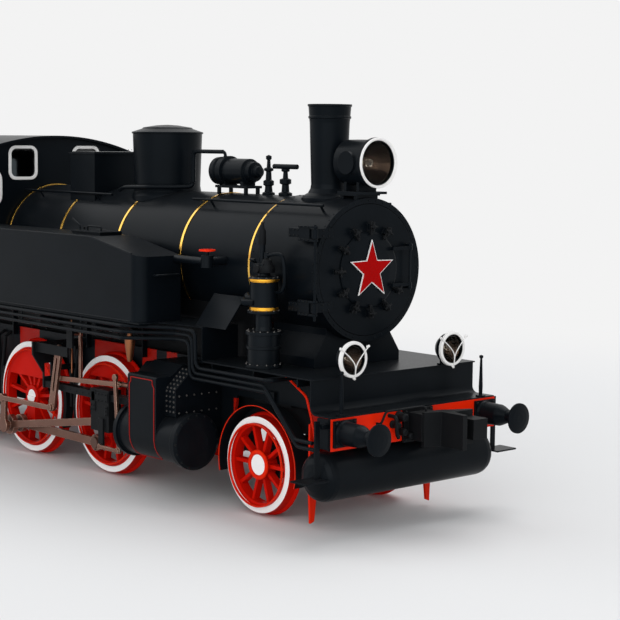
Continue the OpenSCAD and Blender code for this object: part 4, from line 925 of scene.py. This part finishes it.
# painted shade: the wheel guard is painted black for the shade under its arch, and only its outer edge keeps
# the red
guard_edge = lambda t: maths(t, "GREATER_THAN", maths(t, "ABSOLUTE", axis_parts(t)[1]), 0.8175)
paint_nodes("wheel_guards",
    finish("guard_painted_shade", BLACK, BLUE_BLACK, rough=(0.34, 0.5), dust_and_sheen=0.2, layers=((guard_edge, RED),)))
for tag, side in SIDES:
    for end, e in ENDS:
        y0, y1 = sorted((side * 0.985, side * 1.015))
        x0, x1 = sorted((e * 4.905, e * 5.056))
        piece(f"beam_end_{end}_{tag}", *blocks(((x0, y0, 0.812), (x1, y1, 1.078))), black_paint,
            smooth=False, round_edges=0.006)
        path = rounded_path([(e * 4.235, side * 0.80, 1.352), (e * 4.53, side * 0.80, 1.19),
            (e * 4.60, side * 0.80, 1.00), (e * 4.66, side * 0.80, 0.79)], 0.04)
        piece(f"frame_flange_{end}_{tag}", *tube(path, 0.012, 6), red_paint, slot="red_paint")
print("frame painted")

# %% [markdown]
# ## Fittings on the boiler and tanks
# A steam pipe runs round the foot of the dome and up to the generator. The tanks
# have a rolled bead along the top edge, a grab rail in front and clamped lids.
# The beads, rails and handles are tubes carried along rounded paths.

# %% Dome pipe, tank beads, rails and lid handles
dome_pipe = rounded_path([(1.05, -0.36, 2.90), (1.20, -0.405, 2.935), (1.62, -0.40, 2.947),
    (1.80, -0.18, 2.948), (1.90, -0.04, 2.955),
                          (1.905, -0.04, 3.313), (2.38, -0.04, 3.313)], 0.06, 8)
piece("dome_pipe", *tube(dome_pipe, 0.021, 12), black_paint)
for tag, side in SIDES:
    bead = rounded_path([(-0.74, side * 1.283, 2.479), (1.882, side * 1.283, 2.479),
        (2.56, side * 1.283, 2.352)], 0.05)
    foot = [(-0.74, side * 1.288, 1.712), (2.55, side * 1.288, 1.712)]
    rail = rounded_path([(2.675, side * 0.838, 2.15), (2.725, side * 0.838, 2.15),
        (2.725, side * 1.109, 2.15), (2.675, side * 1.109, 2.15)], 0.03)
    clamp = rounded_path([(1.27, side * 1.0, 2.478), (1.27, side * 1.0, 2.55), (1.22, side * 1.0, 2.58),
        (1.12, side * 0.99, 2.62)], 0.03)
    piece("tank_beads_" + tag,
        *joined([tube(bead, 0.009, 8), tube(foot, 0.008, 8), tube(rail, 0.011, 10),
        tube(clamp, 0.010, 10)]), black_paint)
    knob = turned([(2.476, 0.0), (2.476, 0.024), (2.50, 0.024), (2.505, 0.012), (2.54, 0.012),
        (2.545, 0.0)], (1.24, side * 0.93, 0), "z", 14)
    piece("lid_knob_" + tag, *knob, black_iron, slot="black_iron")
    handle = rounded_path([(1.45, side * 1.03, 2.512), (1.45, side * 1.03, 2.56), (1.69, side * 1.03, 2.56),
        (1.69, side * 1.03, 2.512)], 0.025)
    piece("lid_handle_" + tag, *tube(handle, 0.009, 10), black_paint, body="lid_" + tag)
    grip = rounded_path([(-2.15, side * 1.294, 2.10), (-2.15, side * 1.33, 2.10),
        (-2.25, side * 1.33, 2.10), (-2.27, side * 1.33, 2.09)], 0.02)
    piece("door_handle_" + tag, *tube(grip, 0.009, 10), steel, body="door_" + tag, slot="motion_steel")
print("boiler and tank fittings made")

# %% Rivets on cab, bunker and smokebox saddle
for tag, side in SIDES:
    rows = [(x, z) for z in (1.76, 3.30) for x in np.arange(-2.90, -0.80, 0.07) if not -2.74 < x < -2.04]
    rows += [(x, z) for x in (-2.90, -2.00, -0.80) for z in np.arange(1.83, 3.28, 0.07)]
    bunker_rows = [(x, z) for z in (1.75, 2.70) for x in np.arange(-4.80, -3.0, 0.07)]
    bunker_rows += [(x, z) for x in (-4.81, -3.92, -3.02) for z in np.arange(1.82, 2.66, 0.07)]
    spots = [(x, side * 1.3, z) for x, z in rows + bunker_rows]
    piece("cab_rivets_" + tag, *studs(spots, (0, side, 0), 0.007, 0.004), black_paint)
rear = [(-4.853, y, z) for z in (1.75, 2.70) for y in np.arange(-1.24, 1.25, 0.08)]
rear += [(-4.853, y, z) for y in (-1.26, 1.26) for z in np.arange(1.82, 2.66, 0.07)]
piece("bunker_rivets", *studs(rear, (-1, 0, 0), 0.007, 0.004), black_paint)
print("rivets:", len(rear), "on the rear sheet")

# %% [markdown]
# ## Running gear
# Nuts finish the rods. Every wheel has a raised ring inside its tyre, and the small
# wheels have another round the hub. They turn with their own wheel or rod.

# %% Hub rings, pins and rod nuts
for body, x, z, r in (("leading_wheels", 3.862, 0.477, 0.449), ("trailing_wheels", -3.862, 0.477, 0.449),
                      ("driving_wheels_1", 1.464, 0.631, 0.603), ("driving_wheels_2", 0.0, 0.631, 0.603),
                      ("driving_wheels_3", -1.464, 0.631, 0.603)):
    rings = []
    for side in (-1, 1):
        if r < 0.5:
            face = abs(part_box("wheelset_" + body.split("_")[0])[0][1])
            y = lambda d: side * (face + d)
            rings.append(turned([(y(-0.012), 0.100), (y(0.004), 0.104), (y(0.008), 0.118),
                (y(0.002), 0.136), (y(-0.012), 0.140), (y(-0.012), 0.100)],
                                (x, 0, z), "y", 40))
        out = r * 0.862
        rings.append(turned([(side * 0.825, out - 0.016), (side * 0.842, out - 0.013),
            (side * 0.845, out - 0.007), (side * 0.840, out),
                             (side * 0.825, out), (side * 0.825, out - 0.016)], (x, 0, z), "y", 64))
    piece(body + "_rings", *joined(rings), red_paint, body=body, slot="red_paint")
for tag, side, dx, dz in (("right", -1, 0.0, -0.28), ("left", 1, -0.28, 0.0)):
    caps = []
    for x in DRIVER_X:
        at = np.array([x + dx, side * 0.9605, 0.631 + dz])
        caps.append(studs([at + [c * 0.073, 0, s * 0.073] for c, s in ((1, 0), (-1, 0), (0, 1), (0, -1))],
            (0, side, 0), 0.010, 0.010, 6))
    piece("rod_nuts_" + tag, *joined(caps), bright_steel, body="side_rod_" + tag, slot="motion_steel")
print("running gear finished")

# %% Coupler castings, buffer bolts and beam fittings
for end, e in ENDS:
    corners = [(e * 5.122, y + a, 0.954 + b) for y in (-0.875, 0.875) for a in (-0.105,
        0.105) for b in (-0.095, 0.095)]
    piece("buffer_bolts_" + end, *studs(corners, (e, 0, 0), 0.015, 0.014, 6), black_iron, slot="black_iron")
    lever = rounded_path([(e * 5.112, -0.50 * e, 1.00), (e * 5.165, -0.50 * e, 1.00),
        (e * 5.165, -0.44 * e, 1.105), (e * 5.165, -0.02 * e, 1.105),
                          (e * 5.215, 0.0, 1.105), (e * 5.215, 0.0, 1.05)], 0.03)
    castings = [tube(lever, 0.011, 10)]
    for y, z, r in ((-0.225, 1.03, 0.040), (-0.225, 0.90, 0.034), (-0.30, 0.97, 0.028), (-0.15, 0.86, 0.030)):
        castings.append(turned([(e * 5.094, 0.0), (e * 5.094, r * 1.25), (e * 5.118, r * 1.25),
            (e * 5.122, r), (e * 5.19, r * 0.92), (e * 5.20, r * 0.6),
                                (e * 5.20, 0.0)], (0, y * e, z), "x", 18))
    hose = rounded_path([(e * 5.10, -0.34 * e, 1.05), (e * 5.19, -0.34 * e, 1.05),
        (e * 5.20, -0.34 * e, 0.90), (e * 5.17, -0.29 * e, 0.86)], 0.04)
    castings.append(tube(hose, 0.018, 10))
    nuts = [(e * 5.125, y * e, z) for y in (-0.155, 0.155) for z in (0.82, 0.90, 0.99, 1.065)]
    castings.append(studs(nuts, (e, 0, 0), 0.014, 0.014, 6))
    piece("coupler_castings_" + end, *joined(castings), black_iron, slot="black_iron")
print("coupler castings made")

# %% [markdown]
# ## Coal in the bunker
# The heap is a height field: a low mound times a window that falls to nothing at
# the walls, with lumps made by rounding four slanted waves, and a little noise.

# %% Coal heap
def coal_height(x, y):
    """Height of the heap: a mound h0 + 0.22 (1 - u^4)(1 - v^4) plus faceted lumps of about 4 cm."""
    u, v = (x + 3.90) / 0.93, y / 1.27
    mound = 2.40 + 0.22 * (1 - u ** 4) * (1 - v ** 4)
    lumps = sum(np.abs(np.sin(a * x + b * y + c)) for a, b,
        c in ((31, 17, 0.4), (-23, 29, 1.9), (47, -13, 3.1), (11, 53, 0.8)))
    random = np.random.default_rng(7).random(x.shape)
    return mound + 0.022 * np.round(lumps * 1.7) / 1.7 + 0.028 * random


cx, cy = np.meshgrid(np.linspace(-4.829, -2.975, 110), np.linspace(-1.277, 1.277, 140), indexing="ij")
coal_top = np.stack([cx, cy, coal_height(cx, cy)], -1)
edge_loop = lambda g: np.concatenate([g[0, :-1], g[:-1, -1], g[-1, :0:-1], g[:0:-1, 0]])
skirt_top = edge_loop(coal_top)
skirt = np.stack([skirt_top, skirt_top * [1, 1, 0] + [0, 0, 2.25]])
floor_low = np.stack([cx, cy, np.full(cx.shape, 2.25)], -1)[::-1]
coal = finish("coal", (0.010, 0.010, 0.011), (0.003, 0.003, 0.0035), rough=(0.18, 0.5), gloss=0.5,
    patches=18.0, grain=80.0,
              height=0.25, dust_and_sheen=0.2, wear=0.0)
piece("coal_heap", *joined([grid_mesh(coal_top, around=False), grid_mesh(skirt, around=True),
    grid_mesh(floor_low, around=False)]),
      coal, slot="black_iron", smooth=False)
print("coal up to z", round(float(coal_top[..., 2].max()), 3))

# %% Crosshead plates, guide bolts and valve-gear pins
copper = finish("copper", (0.42, 0.17, 0.075), (0.20, 0.075, 0.035), metal=0.9, rough=(0.3, 0.5), gloss=0.4,
                dust_and_sheen=0.1, wear=0.2)
GUDGEON = {"right": (1822 ** 2 - 280 ** 2) ** 0.5 / 1000, "left": 1.542}
for tag, side in SIDES:
    g, face = GUDGEON[tag], 1.135
    low, high = sorted((side * face, side * (face + 0.010)))
    plates = [((g - 0.145, low, 0.725), (g - 0.065, high, 0.940)),
        ((g + 0.100, low, 0.700), (g + 0.150, high, 0.800)),
              ((g - 0.130, low, 0.830), (g + 0.150, high, 0.930))]
    piece("crosshead_plates_" + tag, *blocks(*plates), black_iron, slot="black_iron", smooth=False,
        round_edges=0.004)
    spots = [(g + dx, side * (face + 0.010), z) for z in (0.848, 0.912) for dx in (-0.12, -0.06, 0.0, 0.06,
        0.12)]
    spots += [(g + dx, side * (face + 0.010), z) for dx,
        z in ((-0.125, 0.745), (-0.085, 0.745), (-0.125, 0.79), (-0.085, 0.79))]
    spots += [(g + 0.125, side * (face + 0.010), z) for z in (0.715, 0.75, 0.785)]
    piece("crosshead_bolts_" + tag, *studs(spots, (0, side, 0), 0.010, 0.010, 6), black_iron,
        slot="black_iron")
    guide = [(x, side * 1.112, 0.883) for x in np.arange(1.14, 2.25, 0.11) if abs(x - g) > 0.19]
    piece("guide_bolts_" + tag, *studs(guide, (0, side, 0), 0.008, 0.006, 6), black_iron, slot="black_iron")
    bracket = [(0.7455, side * y, z) for y in (0.72, 0.80, 0.88, 0.96) for z in (1.03, 1.29)]
    piece("bracket_bolts_" + tag, *studs(bracket, (1, 0, 0), 0.012, 0.010, 6), black_iron, slot="black_iron")
    hanger = tube([(1.256, side * 1.10, 1.054), (1.256, side * 1.10, 1.60)], 0.007, 8)
    oiler = turned([(1.27, 0.0), (1.27, 0.018), (1.30, 0.030), (1.46, 0.052), (1.50, 0.052), (1.52, 0.030),
        (1.58, 0.018), (1.58, 0.0)],
                   (2.205, side * 1.05, 0), "z", 20)
    piece("hanger_rod_" + tag, *joined([hanger, oiler]), copper, slot="brass")
print("crossheads, guides and hangers dressed")
